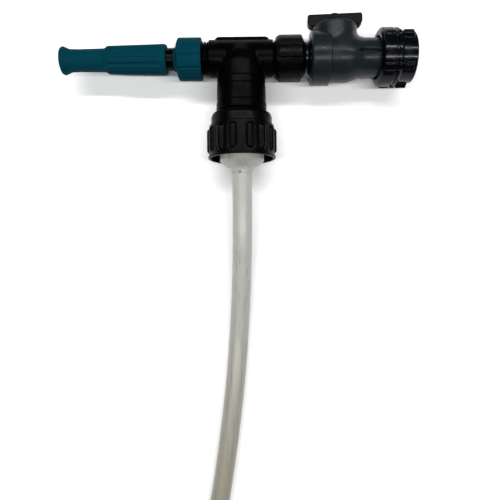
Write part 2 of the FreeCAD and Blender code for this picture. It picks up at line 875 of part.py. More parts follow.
# ---------------------------------------------------------------------------------------------
# Tee
# ---------------------------------------------------------------------------------------------
def tee_body():
    """Tee moulding: threaded arm, flat pad on the side away from the hose, and the wide branch."""
    body = new_body("tee_body", (TEE, "0", "0"))
    right = thread("tee_shoulder", 1)
    left = [(f"-({x})", r) for x, r in thread("tee_shoulder", -1)]
    turned(
        body,
        [("-tee_half", "0"), ("-tee_half", "thread_root"), *left]
        + [("-tee_shoulder", "thread_root"), ("-tee_shoulder", "tee_barrel_radius")]
        + [("tee_shoulder", "tee_barrel_radius"), ("tee_shoulder", "thread_root"), *right]
        + [("tee_half", "thread_root"), ("tee_half", "0")],
    )
    dome = "-branch_dome_drop"
    thin = "branch_radius - branch_ledge"
    turned(
        body,
        [
            ("0", f"{dome} + {thin}"),
            (thin, dome, thin),
            (thin, "-branch_ledge_one"),
            ("branch_radius - branch_ledge / 2", "-branch_ledge_one"),
            ("branch_radius - branch_ledge / 2", "-branch_ledge_two"),
            ("branch_radius", "-branch_ledge_two"),
            ("branch_radius", "-branch_band_start"),
            ("branch_radius + branch_ledge", "-branch_band_start"),
            ("branch_radius + branch_ledge", "-branch_band_end"),
            ("flange_seat_radius", "-branch_band_end"),
            ("flange_seat_radius", "-flange_seat_end"),
            ("spigot_radius", "-flange_seat_end"),
            ("spigot_radius", "-spigot_end + 1"),
            ("spigot_radius - 1", "-spigot_end"),
            ("0", "-spigot_end"),
        ],
        axis="V_Axis",
    )
    pad = sketch_on(body, "XZ_Plane", "0")
    rectangle(pad, "tee_pad_length / 2", "-tee_pad_width / 2", "tee_pad_width / 2")
    raised(body, pad, "tee_pad_top", reverse=True)
    turned(
        body,
        [
            ("-tee_half", "0"),
            ("-tee_half", "tee_throat"),
            ("-branch_bore / 2", "tee_throat"),
            ("-branch_bore / 2", "tee_bore"),
            ("tee_half", "tee_bore"),
            ("tee_half", "0"),
        ],
        "Groove",
    )
    turned(
        body,
        [
            ("0", "0"),
            ("branch_bore", "0"),
            ("branch_bore", "-spigot_end"),
            ("0", "-spigot_end"),
        ],
        "Groove",
        "V_Axis",
    )


def jet_insert():
    """Jet in the tee's inlet side: the narrow stream past the branch makes the suction."""
    body = new_body("jet_insert", (f"{TEE_END} - snug", "0", "0"), "-X")
    turned(
        body,
        [
            ("0", "jet_bore"),
            ("0", "tee_bore - snug"),
            ("jet_barrel", "tee_bore - snug"),
            ("jet_length", "jet_tip_radius"),
            ("jet_length", "jet_hole"),
            ("jet_barrel", "jet_bore - 1"),
        ],
    )


# ---------------------------------------------------------------------------------------------
# Union nut and hose cuff on the branch
# ---------------------------------------------------------------------------------------------
def union_nut():
    """Big open-mouthed nut with rounded ribs, which turns freely on the branch."""
    body = new_body("union_nut", (TEE, "-union_start", "0"), "-Y")
    turned(
        body,
        [
            ("0", "branch_radius + loose"),
            ("0", "union_top_radius"),
            ("3.2", "union_shoulder_radius", "3.6"),
            ("union_shoulder", "union_shoulder_radius"),
            ("union_shoulder", "union_radius"),
            ("union_length - union_rim", "union_rim_radius"),
            ("union_length", "union_rim_radius - 0.6"),
            ("union_length", "union_bore"),
            ("union_top_wall", "union_bore - 1.4"),
            ("union_top_wall", "branch_radius + loose"),
        ],
    )
    ribs(
        body,
        "union_rib_count",
        "union_rib_centre",
        "union_rib_round",
        "union_rib_start",
        "union_rib_length",
        "180 / union_rib_count",
    )


def branch_rings():
    """The ring that holds the union nut on the branch, and the flat washer below it."""
    ring(
        "branch_flange",
        (TEE, "-branch_flange_start", "0"),
        "-Y",
        "flange_seat_radius + snug",
        "branch_flange_radius",
        "branch_flange_thick",
    )
    ring(
        "union_washer",
        (TEE, "-(branch_flange_start + branch_flange_thick + snug)", "0"),
        "-Y",
        "flange_seat_radius + snug",
        "union_washer_radius",
        "washer_thick",
    )


def hose_cuff():
    """Soft bell pushed over the spigot, drawn in like a trumpet to the hose."""
    body = new_body("hose_cuff", (TEE, "-cuff_start", "0"), "-Y")
    neck = "hose_radius + snug / 2"
    turned(
        body,
        [
            ("0", "spigot_radius + snug"),
            ("0", "cuff_radius"),
            ("cuff_straight", "cuff_radius"),
            ("cuff_straight + 2.7", "cuff_radius - 3.2"),
            ("cuff_straight + 4.4", f"{neck} + 2.2"),
            ("cuff_straight + 7", f"{neck} + cuff_neck_wall"),
            ("cuff_length", f"{neck} + cuff_neck_wall"),
            ("cuff_length", neck),
            ("cuff_straight + 3", neck),
            ("cuff_straight + 1", "cuff_radius - cuff_wall - 4"),
            ("cuff_straight - 2", "spigot_radius + snug"),
        ],
    )


# ---------------------------------------------------------------------------------------------
# Nozzle
# ---------------------------------------------------------------------------------------------
def nozzle_nut():
    """Teal nut with shallow pads between ten grooves and a small collar at the nozzle's neck."""
    body = new_body("nozzle_nut", (NOZZLE_NUT, "0", "0"), "-X")
    shoulder = "nozzle_nut_overlap + washer_thick + snug + flange_thick + loose"
    turned(
        body,
        [
            ("0", "nut_bore"),
            ("0", "nozzle_nut_radius"),
            ("nozzle_nut_cone - 1", "nozzle_nut_radius"),
            ("nozzle_nut_cone", "nozzle_nut_radius - 1"),
            ("nozzle_nut_length - nozzle_collar", "nozzle_collar_radius"),
            ("nozzle_nut_length", "nozzle_collar_radius"),
            ("nozzle_nut_length", "nozzle_tail_radius + loose"),
            (shoulder, "nozzle_tail_radius + loose"),
            (shoulder, "nut_bore"),
        ],
    )
    ribs(
        body,
        "nozzle_nut_grooves",
        "nozzle_nut_radius + nozzle_nut_groove * 0.4",
        "nozzle_nut_groove",
        "-0.5",
        "nozzle_nut_cone",
        "nozzle_nut_turn",
        "Pocket",
    )


def nozzle_inside():
    """The washer, and the flanged tail that holds the nut on the nozzle's core."""
    at = (f"{TEE_LEFT} - snug / 2", "0", "0")
    ring("nozzle_washer", at, "-X", "nozzle_bore + 1", "flange_radius", "washer_thick")
    body = new_body("nozzle_tail", (NOZZLE_FLANGE, "0", "0"), "-X")
    turned(
        body,
        [
            ("0", "nozzle_bore"),
            ("0", "flange_radius"),
            ("flange_thick", "flange_radius"),
            ("flange_thick", "nozzle_tail_radius"),
            ("nozzle_tail_length", "nozzle_tail_radius"),
            ("nozzle_tail_length", "nozzle_bore"),
        ],
    )


def nozzle_core():
    """Black core with a closed, coned tip and side holes behind it."""
    body = new_body("nozzle_core", (CORE, "0", "0"), "-X")
    socket = "nozzle_tail_length - (nozzle_nut_length - nozzle_nut_overlap - washer_thick)"
    groove_low = "core_ring_place - o_ring_round - snug"
    groove_high = "core_ring_place + o_ring_round + snug"
    groove_root = "sleeve_bore - 2 * o_ring_round - snug"
    turned(
        body,
        [
            ("0", "nozzle_tail_radius + running"),
            ("0", "core_radius"),
            (groove_low, "core_radius"),
            (groove_low, groove_root),
            (groove_high, groove_root),
            (groove_high, "core_radius"),
            ("core_wide", "core_radius"),
            ("core_wide + 2", "core_slim_radius"),
            ("core_tip_start", "core_slim_radius"),
            ("core_length", "core_tip_radius"),
            ("core_length", "0"),
            ("core_tip_start - 2", "0"),
            ("core_tip_start - 2", "nozzle_bore - 1"),
            ("core_wide", "nozzle_bore"),
            (f"{socket} + 1", "nozzle_bore"),
            (f"{socket} + 1", "nozzle_tail_radius + running"),
        ],
    )
    hole = sketch_on(body, "XY_Plane", "core_radius")
    circle(hole, "core_tip_start - 5", "0", "core_side_hole")
    raised(body, hole, "2 * core_radius", "Pocket")
    side = sketch_on(body, "XZ_Plane", "-core_radius")
    circle(side, "core_tip_start - 5", "0", "core_side_hole")
    raised(body, side, "2 * core_radius", "Pocket")
    torus(
        "core_o_ring",
        (f"{CORE} - core_ring_place", "0", "0"),
        "-X",
        "sleeve_bore - o_ring_round - running",
        "o_ring_round",
    )


def nozzle_sleeve():
    """Teal twist sleeve: fluted grip, slim barrel, flared mouth, and the throat that the core closes."""
    body = new_body("nozzle_sleeve", (SLEEVE, "0", "0"), "-X")
    turned(
        body,
        [
            ("0", "sleeve_bore"),
            ("0", "sleeve_grip_radius - 0.6"),
            ("1.7", "sleeve_grip_radius"),
            ("sleeve_grip", "sleeve_grip_end_radius"),
            ("sleeve_grip + sleeve_step", "sleeve_barrel_radius"),
            ("sleeve_flare_start", "sleeve_barrel_radius"),
            ("sleeve_length - 1.2", "sleeve_lip_radius"),
            ("sleeve_length", "sleeve_lip_radius - 0.6"),
            ("sleeve_length", "sleeve_mouth_radius"),
            ("sleeve_throat_end", "sleeve_throat_radius"),
            ("sleeve_throat", "sleeve_throat_radius"),
            ("sleeve_seat", "sleeve_slim_bore"),
            ("sleeve_bore_end + 2.2", "sleeve_slim_bore"),
            ("sleeve_bore_end", "sleeve_bore"),
        ],
    )
    ribs(
        body,
        "sleeve_flute_count",
        "sleeve_grip_radius + sleeve_flute * 0.3",
        "sleeve_flute",
        "sleeve_rim",
        "sleeve_grip - sleeve_rim",
        "0",
        "Pocket",
    )


# ---------------------------------------------------------------------------------------------
# Hose, coil and gravel tube
# ---------------------------------------------------------------------------------------------
def rounded_route(points):
    """Straight runs joined by tangent arcs, each as large as its two runs allow."""
    edges, start = [], points[0]
    for before, corner, after in zip(points, points[1:], points[2:]):
        back, ahead = (before - corner), (after - corner)
        reach = 0.45 * min(back.Length, ahead.Length)
        back.normalize()
        ahead.normalize()
        first, last = corner + back * reach, corner + ahead * reach
        half_turn = (math.pi - back.getAngle(ahead)) / 2
        radius = reach / math.tan(half_turn)
        to_centre = (back + ahead).normalize()
        centre = corner + to_centre * (radius / math.cos(half_turn))
        print(f"hose arc radius {radius:.0f} mm")
        edges.append(Part.LineSegment(start, first).toShape())
        edges.append(Part.Arc(first, centre - to_centre * radius, last).toShape())
        start = last
    edges.append(Part.LineSegment(start, points[-1]).toShape())
    return Part.Wire(edges)


def hose(node, route):
    """A plain solid rod along a route, which stands for the tube."""
    points = [Vector(right, down, size(height)) for right, down, height in route]
    path = rounded_route(points)
    section = Part.Circle(points[0], points[1] - points[0], size("hose_radius"))
    rod = path.makePipeShell([Part.Wire([section.toShape()])], True, False)
    expected = math.pi * size("hose_radius") ** 2 * path.Length
    print(f"{node}: {path.Length:.0f} mm, volume {rod.Volume / expected:.4f} of section times length")
    feature = doc.addObject("Part::Feature", node)
    feature.Shape = rod
    place(feature, (TEE, "0", "0"))
    keep(feature, node)


def hose_coil():
    """The outer shape of the coiled hose: a round ring of even width, standing on its ties."""
    height = "2 * hose_radius * coil_layers"
    body = new_body(
        "hose_coil",
        (f"{TEE} + coil_centre_right", "-coil_centre_down", f"{FLOOR} + tie_thick"),
    )
    inner, outer = "coil_mean_radius - coil_half_width", "coil_mean_radius + coil_half_width"
    turned(
        body,
        [(inner, "0"), (outer, "0"), (outer, height), (inner, height)],
        axis="V_Axis",
    )
    body.Placement = Placement(body.Placement.Base, Rotation(Vector(1, 0, 0), 90))


def coil_ties():
    """Three flat straps round the coil."""
    straps = []
    inner = "coil_mean_radius - coil_half_width"
    outer = "coil_mean_radius + coil_half_width"
    height = "2 * hose_radius * coil_layers"
    for index, angle in enumerate((30, 215, 320)):
        shapes = []
        for label, reach in (("outside", "(tie_slack + tie_thick)"), ("inside", "tie_slack")):
            box = doc.addObject("Part::Box", f"tie_{label}_{index}")
            long = f"{outer} - ({inner}) + 2 * {reach}"
            tall = f"{height} + 2 * tie_thick + snug" if label == "outside" else f"{height} + snug"
            wide = "tie_width" if label == "outside" else "tie_width + 2"
            for side, text in (("Length", long), ("Width", wide), ("Height", tall)):
                setattr(box, side, size(text))
                box.setExpression(side, bound(text))
            box.Placement = Placement(
                Vector(size(f"{inner} - {reach}"), -size(wide) / 2, 0), Rotation()
            )
            box.setExpression("Placement.Base.x", bound(f"{inner} - {reach}"))
            box.setExpression("Placement.Base.y", bound(f"-({wide}) / 2"))
            low = "0" if label == "outside" else "tie_thick"
            box.setExpression("Placement.Base.z", bound(low))
            shapes.append(box)
        strap = doc.addObject("Part::Cut", f"tie_{index}")
        strap.Base, strap.Tool = shapes
        strap.Placement = Placement(Vector(0, 0, 0), Rotation(Vector(0, 0, 1), angle))
        straps.append(strap)
    group = doc.addObject("Part::Compound", "coil_ties")
    group.Links = straps
    place(group, (f"{TEE} + coil_centre_right", "-coil_centre_down", FLOOR))
    keep(group, "coil_ties")


def gravel_tube():
    """Clear tube with a thick rim at its mouth, its cap with the hose socket, and the guard plate."""
    level = TUBE_AXIS
    right = f"{TEE} - gravel_cap_left"
    body = new_body("gravel_tube_cap", (right, "-gravel_cap_down", level), "-Y")
    skirt = "gravel_cap_length - gravel_cap_skirt"
    tube_fit = "gravel_tube_radius + snug"
    turned(
        body,
        [
            ("0", "hose_radius + snug / 2"),
            ("0", "gravel_cap_neck"),
            ("gravel_cap_socket", "gravel_cap_neck"),
            (f"{skirt} - 2", "gravel_rim_radius - 1"),
            (skirt, "gravel_rim_radius"),
            ("gravel_cap_length", "gravel_rim_radius"),
            ("gravel_cap_length", tube_fit),
            (skirt, tube_fit),
            (skirt, "gravel_tube_radius - gravel_tube_wall"),
            ("gravel_cap_socket + 2", "hose_radius - 1.6"),
            ("gravel_cap_socket", "hose_radius - 1.6"),
            ("gravel_cap_socket", "hose_radius + snug / 2"),
        ],
    )
    start = f"-(gravel_cap_down + {skirt} + guard_thick + 2 * snug)"
    body = new_body("gravel_tube", (right, start, level), "-Y")
    inner = "gravel_tube_radius - gravel_tube_wall"
    turned(
        body,
        [
            ("0", inner),
            ("0", "gravel_tube_radius"),
            ("gravel_tube_length - gravel_rim", "gravel_tube_radius"),
            ("gravel_tube_length - gravel_rim + 1", "gravel_rim_radius"),
            ("gravel_tube_length", "gravel_rim_radius"),
            ("gravel_tube_length", inner),
        ],
    )
    at = (right, f"-(gravel_cap_down + {skirt} + snug)", level)
    plate = new_body("gravel_guard", at, "-Y")
    turned(
        plate,
        [("0", "0"), ("0", "gravel_tube_radius")]
        + [("guard_thick", "gravel_tube_radius"), ("guard_thick", "0")],
    )
    for count, share in ((6, 0.33), (12, 0.68)):
        holes = sketch_on(plate, "YZ_Plane", "guard_thick")
        circle(holes, "0", f"gravel_tube_radius * {share}", "guard_hole")
        around(plate, raised(plate, holes, "guard_thick", "Pocket"), str(count))


# ---------------------------------------------------------------------------------------------
# Build, check and write
# ---------------------------------------------------------------------------------------------
tap_nut()
tap_seals()
valve_body()
valve_cap()
valve_neck()
ball_seats()
valve_ball()
valve_stem()
torus(
    "stem_o_ring",
    (BALL, "stem_ring_height", "0"),
    "+Y",
    "stem_radius + o_ring_round + snug",
    "o_ring_round",
)
valve_handle()
handle_screw()
coupling_nut()
coupling_inside()
tee_body()
jet_insert()
union_nut()
branch_rings()
hose_cuff()
nozzle_nut()
nozzle_inside()
nozzle_core()
nozzle_sleeve()
hose("suction_hose", HOSE_OUT)
hose_coil()
hose("hose_tail", HOSE_BACK)
coil_ties()
gravel_tube()

doc.recompute()
failed = [o.Name for o in doc.Objects if {"Invalid", "Error"} & set(o.State)]
if failed:
    raise SystemExit(f"features that failed: {failed}")
for node in NODES:
    if node.Shape.isNull() or not node.Shape.isValid() or node.Shape.Volume < TOLERANCE:
        raise SystemExit(f"{node.Label} has no valid shape")

os.makedirs("parts", exist_ok=True)
for node in NODES:
    node.Shape.exportStep(f"parts/{node.Label}.step")
    box = node.Shape.BoundBox
    print(
        f"{node.Label}: {len(node.Shape.Solids)} solid, {node.Shape.Volume / 1000:.2f} cm3,"
        f" x {box.XMin:.1f} {box.XMax:.1f}, y {box.YMin:.1f} {box.YMax:.1f}, z {box.ZMin:.1f} {box.ZMax:.1f}"
    )
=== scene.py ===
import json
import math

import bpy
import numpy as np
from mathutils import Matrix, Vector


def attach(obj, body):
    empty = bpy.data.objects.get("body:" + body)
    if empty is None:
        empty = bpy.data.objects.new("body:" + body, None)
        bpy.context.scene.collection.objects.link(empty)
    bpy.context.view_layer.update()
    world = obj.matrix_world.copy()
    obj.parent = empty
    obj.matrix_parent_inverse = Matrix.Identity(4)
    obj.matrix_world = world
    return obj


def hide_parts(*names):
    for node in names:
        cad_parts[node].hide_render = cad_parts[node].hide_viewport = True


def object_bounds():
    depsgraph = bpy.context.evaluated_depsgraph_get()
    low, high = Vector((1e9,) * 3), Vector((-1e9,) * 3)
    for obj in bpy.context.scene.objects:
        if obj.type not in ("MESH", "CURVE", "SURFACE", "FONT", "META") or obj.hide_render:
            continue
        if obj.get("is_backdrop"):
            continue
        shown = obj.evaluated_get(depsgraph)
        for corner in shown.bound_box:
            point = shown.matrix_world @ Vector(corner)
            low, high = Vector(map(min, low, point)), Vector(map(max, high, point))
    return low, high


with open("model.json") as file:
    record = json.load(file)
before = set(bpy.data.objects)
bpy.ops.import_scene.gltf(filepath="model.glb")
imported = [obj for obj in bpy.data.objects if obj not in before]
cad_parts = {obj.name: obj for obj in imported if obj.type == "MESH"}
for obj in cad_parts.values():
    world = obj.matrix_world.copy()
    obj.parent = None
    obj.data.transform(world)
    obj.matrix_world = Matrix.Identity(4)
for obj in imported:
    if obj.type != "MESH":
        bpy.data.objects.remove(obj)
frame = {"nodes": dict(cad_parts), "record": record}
first_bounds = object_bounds()

# %% [markdown]
# # A tap-driven gravel siphon, built in Blender round its CAD frame
#
# Every piece below is a small formula: a closed outline turned round an axis, a rounded solid told by
# how far each point is from its surface, or one curve for the whole hose. The CAD model says where
# each piece is and what it moves with, so every lesson step ends with the piece riding its body.
# Lengths in the formulas are millimetres, in the frame of the CAD part.

MM = 0.001
TEE_X = -137.0  # the branch's axis
BALL_X = -61.5  # the valve handle's axis
FLOOR_Z = -27.446  # the table's top

# %% [markdown]
# ## 1. From points to a piece
#
# A grid of points becomes a mesh with `foreach_set`, which writes whole arrays at once. `piece` also
# gives the mesh its material, lets it ride a CAD body, and hides the CAD nodes it stands for.

# %% Mesh helpers


def facing_out(points, quads):
    """Turns the faces round if they look inwards: the sum over faces of (centre . area vector) is
    three times the volume, so a negative sum means inward faces."""
    a, b, c, d = (points[quads[:, i]] for i in range(4))
    area = np.cross(c - a, d - b) / 2
    volume = ((a + b + c + d) / 4 * area).sum()
    return quads if volume > 0 else quads[:, ::-1]


def wrapped(rows, columns):
    """Quads of a grid that closes on itself both ways."""
    i, j = np.meshgrid(np.arange(rows), np.arange(columns), indexing="ij")
    up, right = (i + 1) % rows, (j + 1) % columns
    corners = [i * columns + j, up * columns + j, up * columns + right, i * columns + right]
    return np.stack(corners, -1).reshape(-1, 4)


def joined(*parts):
    """Several (points, quads) pairs as one pair."""
    points, quads, count = [], [], 0
    for some_points, some_quads in parts:
        points.append(some_points)
        quads.append(some_quads + count)
        count += len(some_points)
    return np.concatenate(points), np.concatenate(quads)


def piece(name, shape, material, slot, body, *nodes):
    """A smooth mesh object from (points in mm, quads), riding a CAD body in place of CAD nodes."""
    points, quads = shape
    mesh = bpy.data.meshes.new(name)
    mesh.vertices.add(len(points))
    mesh.vertices.foreach_set("co", (points * MM).astype(np.float32).ravel())
    mesh.loops.add(quads.size)
    mesh.loops.foreach_set("vertex_index", quads.astype(np.int32).ravel())
    mesh.polygons.add(len(quads))
    mesh.polygons.foreach_set("loop_start", np.arange(0, quads.size, 4, dtype=np.int32))
    mesh.update(calc_edges=True)
    mesh.validate()
    mesh.shade_smooth()
    mesh.materials.append(material)
    shown = bpy.data.objects.new(name, mesh)
    bpy.context.scene.collection.objects.link(shown)
    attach(shown, body)
    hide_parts(*nodes)
    print(f"{name}: {len(points)} points, {len(quads)} faces")
    return shown


# %% [markdown]
# ## 2. Turned pieces
#
# `rounded` takes the corners of an outline as (along, radius, rounding) and puts an arc on each.
# `turned` carries that outline round the axis. Ribs and grooves are not cut: `reshape` moves the
# outer wall in or out by a formula of place and angle, which keeps the grid whole.

# %% Turned surfaces


def rounded(corners, step):
    """Closed outline through the corners, each replaced by an arc, with long edges divided.

    At a corner with half angle h between its edges, an arc of radius r starts r / tan(h) from it and
    its centre lies r / sin(h) along the bisector."""
    outline = []
    count = len(corners)
    for i, (along, radius, rounding) in enumerate(corners):
        here = np.array([along, radius], float)
        back = np.array(corners[i - 1][:2], float) - here
        ahead = np.array(corners[(i + 1) % count][:2], float) - here
        reach_back, reach_ahead = np.linalg.norm(back), np.linalg.norm(ahead)
        back, ahead = back / reach_back, ahead / reach_ahead
        half = math.acos(np.clip(back @ ahead, -1, 1)) / 2
        if rounding <= 0 or half > math.radians(89):
            outline.append(here)
            continue
        reach = min(rounding / math.tan(half), 0.45 * reach_back, 0.45 * reach_ahead)
        size = reach * math.tan(half)
        centre = here + (back + ahead) / np.linalg.norm(back + ahead) * size / math.sin(half)
        first, last = here + back * reach - centre, here + ahead * reach - centre
        sweep = math.pi - 2 * half
        for t in np.linspace(0, 1, max(3, int(math.degrees(sweep) / 14) + 2)):
            share = [math.sin((1 - t) * sweep), math.sin(t * sweep)]
            outline.append(centre + (share[0] * first + share[1] * last) / math.sin(sweep))
    outline = np.array(outline)
    filled = []
    for start, end in zip(outline, np.roll(outline, -1, axis=0)):
        parts = max(1, math.ceil(np.linalg.norm(end - start) / step))
        filled.extend(start + (end - start) * k / parts for k in range(parts))
    return np.array(filled).T


HEADINGS = {
    "+X": ((1, 0, 0), (0, 1, 0)),
    "-X": ((-1, 0, 0), (0, -1, 0)),
    "-Y": ((0, -1, 0), (1, 0, 0)),
}


def turned(corners, start, heading, turns=240, step=1.0, reshape=None):
    """Surface point = start + along * axis + radius * (cos(angle) * up + sin(angle) * side).

    `turns` is the number of points round the axis, and `step` the longest edge of the outline."""
    along, radius = rounded(corners, step)
    angle = np.linspace(0, 2 * math.pi, turns, endpoint=False)
    along, angle = np.meshgrid(along, angle, indexing="ij")
    radius = np.broadcast_to(radius[:, None], along.shape).copy()
    if reshape:
        radius = reshape(along, angle, radius)
    axis, side = (np.array(v, float) for v in HEADINGS[heading])
    up = np.array([0, 0, 1])
    outward = np.cos(angle)[..., None] * up + np.sin(angle)[..., None] * side
    points = np.array(start, float) + along[..., None] * axis + radius[..., None] * outward
    rows, columns = along.shape
    points = points.reshape(-1, 3)
    return points, facing_out(points, wrapped(rows, columns))


def from_nearest(angle, count, first=0.0):
    """Angle from the nearest of `count` evenly spaced lines round the axis."""
    pitch = 2 * math.pi / count
    return (angle - first + pitch / 2) % pitch - pitch / 2


def outside_range(value, low, high):
    """How far the value lies below low or above high, and 0 between them."""
    return np.maximum(np.maximum(low - value, value - high), 0)


RIDGE_WIDTH = 0.28


def round_grooves(count, first, centre, size, low, high, wall, crest=0.0):
    """A reshape that sinks round grooves along the axis into the wall, beyond the radius `wall`.

    A groove is a rod of the given size whose middle runs at radius `centre` from `low` to `high`. At
    distance d from that middle line its skin sinks sqrt(size^2 - d^2). `crest` raises a fine ridge
    along its floor."""

    def reshape(along, angle, radius):
        sideways = from_nearest(angle, count, math.radians(first))
        beyond = outside_range(along, low, high)
        distance = np.hypot(centre * np.sin(sideways), beyond)
        depth = np.sqrt(np.maximum(size**2 - distance**2, 0))
        ridge = crest * np.exp(-((centre * sideways / RIDGE_WIDTH) ** 2)) * (beyond <= 0)
        sunk = np.minimum(radius, centre - depth + ridge)
        return np.where((radius > wall) & (distance < size), sunk, radius)

    return reshape


print("headings of turned pieces:", ", ".join(HEADINGS))

# %% [markdown]
# ## 3. Blended solids
#
# The tee, the valve and its handle are not round about one axis. Each is a *field*: a formula that is
# negative inside and zero on the surface. `soft_min` joins two solids with a fillet and `soft_max`
# cuts one with another. `skin` samples the field on a grid, puts one point in each cell that the
# surface passes through, joins neighbours, and then slides the points onto the surface itself.

# %% Fields and their skins


def soft_min(a, b, fillet):
    """The smaller of two fields, blended over the fillet's width."""
    share = np.clip(0.5 + 0.5 * (b - a) / fillet, 0, 1)
    return b + (a - b) * share - fillet * share * (1 - share)


def soft_max(a, b, fillet):
    """The larger of two fields, blended over the fillet's width."""
    return -soft_min(-a, -b, fillet)


def rod(across, along, radius, low, high, edge=0.5):
    """A round bar: `across` is the distance from its axis and `along` the place on it."""
    return soft_max(across - radius, np.maximum(low - along, along - high), edge)


def ease(value, low, high):
    """0 below low, 1 above high, and an S-shaped step between."""
    t = np.clip((value - low) / (high - low), 0, 1)
    return t * t * (3 - 2 * t)


SLIDES = 4  # moves onto the surface
LEAST_SLOPE = 0.05  # keeps a move finite where the field is flat


def skin(field, low, high, step):
    """Quad mesh of the surface where the field is zero, inside the box from low to high.

    Each point first lies at the mean of the places where its cell's edges cross the surface, and
    then slides down the slope: move = field / slope^2 * slope."""
    ticks = [np.arange(a, b + step, step) for a, b in zip(low, high)]
    value = field(*np.meshgrid(*ticks, indexing="ij", sparse=True))
    value = np.broadcast_to(value, [len(t) for t in ticks])
    offsets = [(i, j, k) for i in (0, 1) for j in (0, 1) for k in (0, 1)]
    n = [s - 1 for s in value.shape]
    corner = {o: value[o[0] : n[0] + o[0], o[1] : n[1] + o[1], o[2] : n[2] + o[2]] for o in offsets}
    inside = sum((corner[o] < 0).astype(np.int8) for o in offsets)
    cell = (inside > 0) & (inside < 8)
    number = np.full(cell.shape, -1)
    number[cell] = np.arange(cell.sum())
    total, hits = np.zeros((cell.sum(), 3)), np.zeros(cell.sum())
    for o in offsets:
        for axis in range(3):
            if o[axis]:
                continue
            other = tuple(1 if k == axis else o[k] for k in range(3))
            a, b = corner[o][cell], corner[other][cell]
            crossed = (a < 0) != (b < 0)
            share = a[crossed] / (a[crossed] - b[crossed])
            place = np.tile(np.array(o, float), (len(share), 1))
            place[:, axis] = share
            total[crossed] += place
            hits[crossed] += 1
    points = (np.argwhere(cell) + total / hits[:, None]) * step + np.array(low, float)

    faces = []
    for axis in range(3):
        u, v = [k for k in range(3) if k != axis]
        first = [slice(1, -1)] * 3
        second = [slice(1, -1)] * 3
        first[axis], second[axis] = slice(0, -1), slice(1, None)
        a, b = value[tuple(first)], value[tuple(second)]
        place = np.argwhere((a < 0) != (b < 0))
        place[:, u] += 1
        place[:, v] += 1
        around = []
        for du, dv in ((0, 0), (1, 0), (1, 1), (0, 1)):
            at = place.copy()
            at[:, u] -= du
            at[:, v] -= dv
            around.append(number[at[:, 0], at[:, 1], at[:, 2]])
        quad = np.stack(around, -1)
        a_inside = value[tuple(place.T)] < 0
        flip = a_inside if axis != 1 else ~a_inside
        quad[flip] = quad[flip][:, ::-1]
        faces.append(quad)
    quads = np.concatenate(faces)
    quads = quads[(quads >= 0).all(1)]

    nudge = 0.05 * step
    for _ in range(SLIDES):
        here = field(*points.T)
        slope = np.empty_like(points)
        for axis in range(3):
            shift = np.zeros(3)
            shift[axis] = nudge
            slope[:, axis] = (field(*(points + shift).T) - field(*(points - shift).T)) / (2 * nudge)
        steep = np.maximum((slope**2).sum(1), LEAST_SLOPE)
        move = np.clip(here / steep, -0.4 * step, 0.4 * step)
        points -= move[:, None] * slope
    return points, facing_out(points, quads)


# %% [markdown]
# ## 4. Materials from shared node groups
#
# Three groups hold what the plastics share: the fine grain of a moulded face, the smudges and
# scratches of handling, and the dust that settles on faces that look up. They give out masks and
# normals only. A fourth gives the hose's colour from place to place. Each material keeps its own
# shader and mixes these in.

# %% Node helpers


def fill(tree, node, inputs):
    """Gives a node's sockets their values: numbers and colours, or other nodes' outputs as links."""
    for key, value in inputs.items():
        if isinstance(value, bpy.types.NodeSocket):
            tree.links.new(value, node.inputs[key])
        else:
            node.inputs[key].default_value = value


def add(tree, kind, inputs=None, **settings):
    """A node of that kind, laid out in rows of twelve."""
    node = tree.nodes.new(kind)
    row, place = divmod(len(tree.nodes), 12)
    node.location = (180 * place, -220 * row)
    for key, value in settings.items():
        setattr(node, key, value)
    fill(tree, node, inputs or {})
    return node


def maths(tree, operation, *values):
    return add(tree, "ShaderNodeMath", dict(enumerate(values)), operation=operation).outputs[0]


def vectors(tree, operation, a, b):
    return add(tree, "ShaderNodeVectorMath", {0: a, 1: b}, operation=operation).outputs[0]


def between(tree, value, low, high):
    """The value's place from low to high as 0 to 1."""
    node = add(tree, "ShaderNodeMapRange", {"Value": value, "From Min": low, "From Max": high})
    node.interpolation_type = "SMOOTHSTEP"
    return node.outputs["Result"]


# The colour mix has a set of sockets for each kind of data: these are the colour ones.
MIX_SHARE, MIX_A, MIX_B, MIX_OUT = 0, 6, 7, 2


def mixed(tree, share, a, b):
    """Colour a turning into colour b as the share goes from 0 to 1."""
    node = add(tree, "ShaderNodeMix", data_type="RGBA")
    fill(tree, node, {MIX_SHARE: share, MIX_A: a, MIX_B: b})
    return node.outputs[MIX_OUT]


def noise(tree, where, scale, detail=3.0, rough=0.55):
    return add(
        tree, "ShaderNodeTexNoise",
        {"Vector": where, "Scale": scale, "Detail": detail, "Roughness": rough},
    ).outputs[0]


def group(name, inputs, outputs):
    """An empty node group, with its own input and output sockets."""
    tree = bpy.data.node_groups.new(name, "ShaderNodeTree")
    for label, kind, value in inputs:
        socket = tree.interface.new_socket(label, in_out="INPUT", socket_type=f"NodeSocket{kind}")
        socket.default_value = value
    for label, kind in outputs:
        tree.interface.new_socket(label, in_out="OUTPUT", socket_type=f"NodeSocket{kind}")
    return tree, add(tree, "NodeGroupInput").outputs, add(tree, "NodeGroupOutput").inputs


def used(tree, node_tree, inputs=None):
    """A node group's outputs where it is used."""
    return add(tree, "ShaderNodeGroup", inputs, node_tree=node_tree).outputs


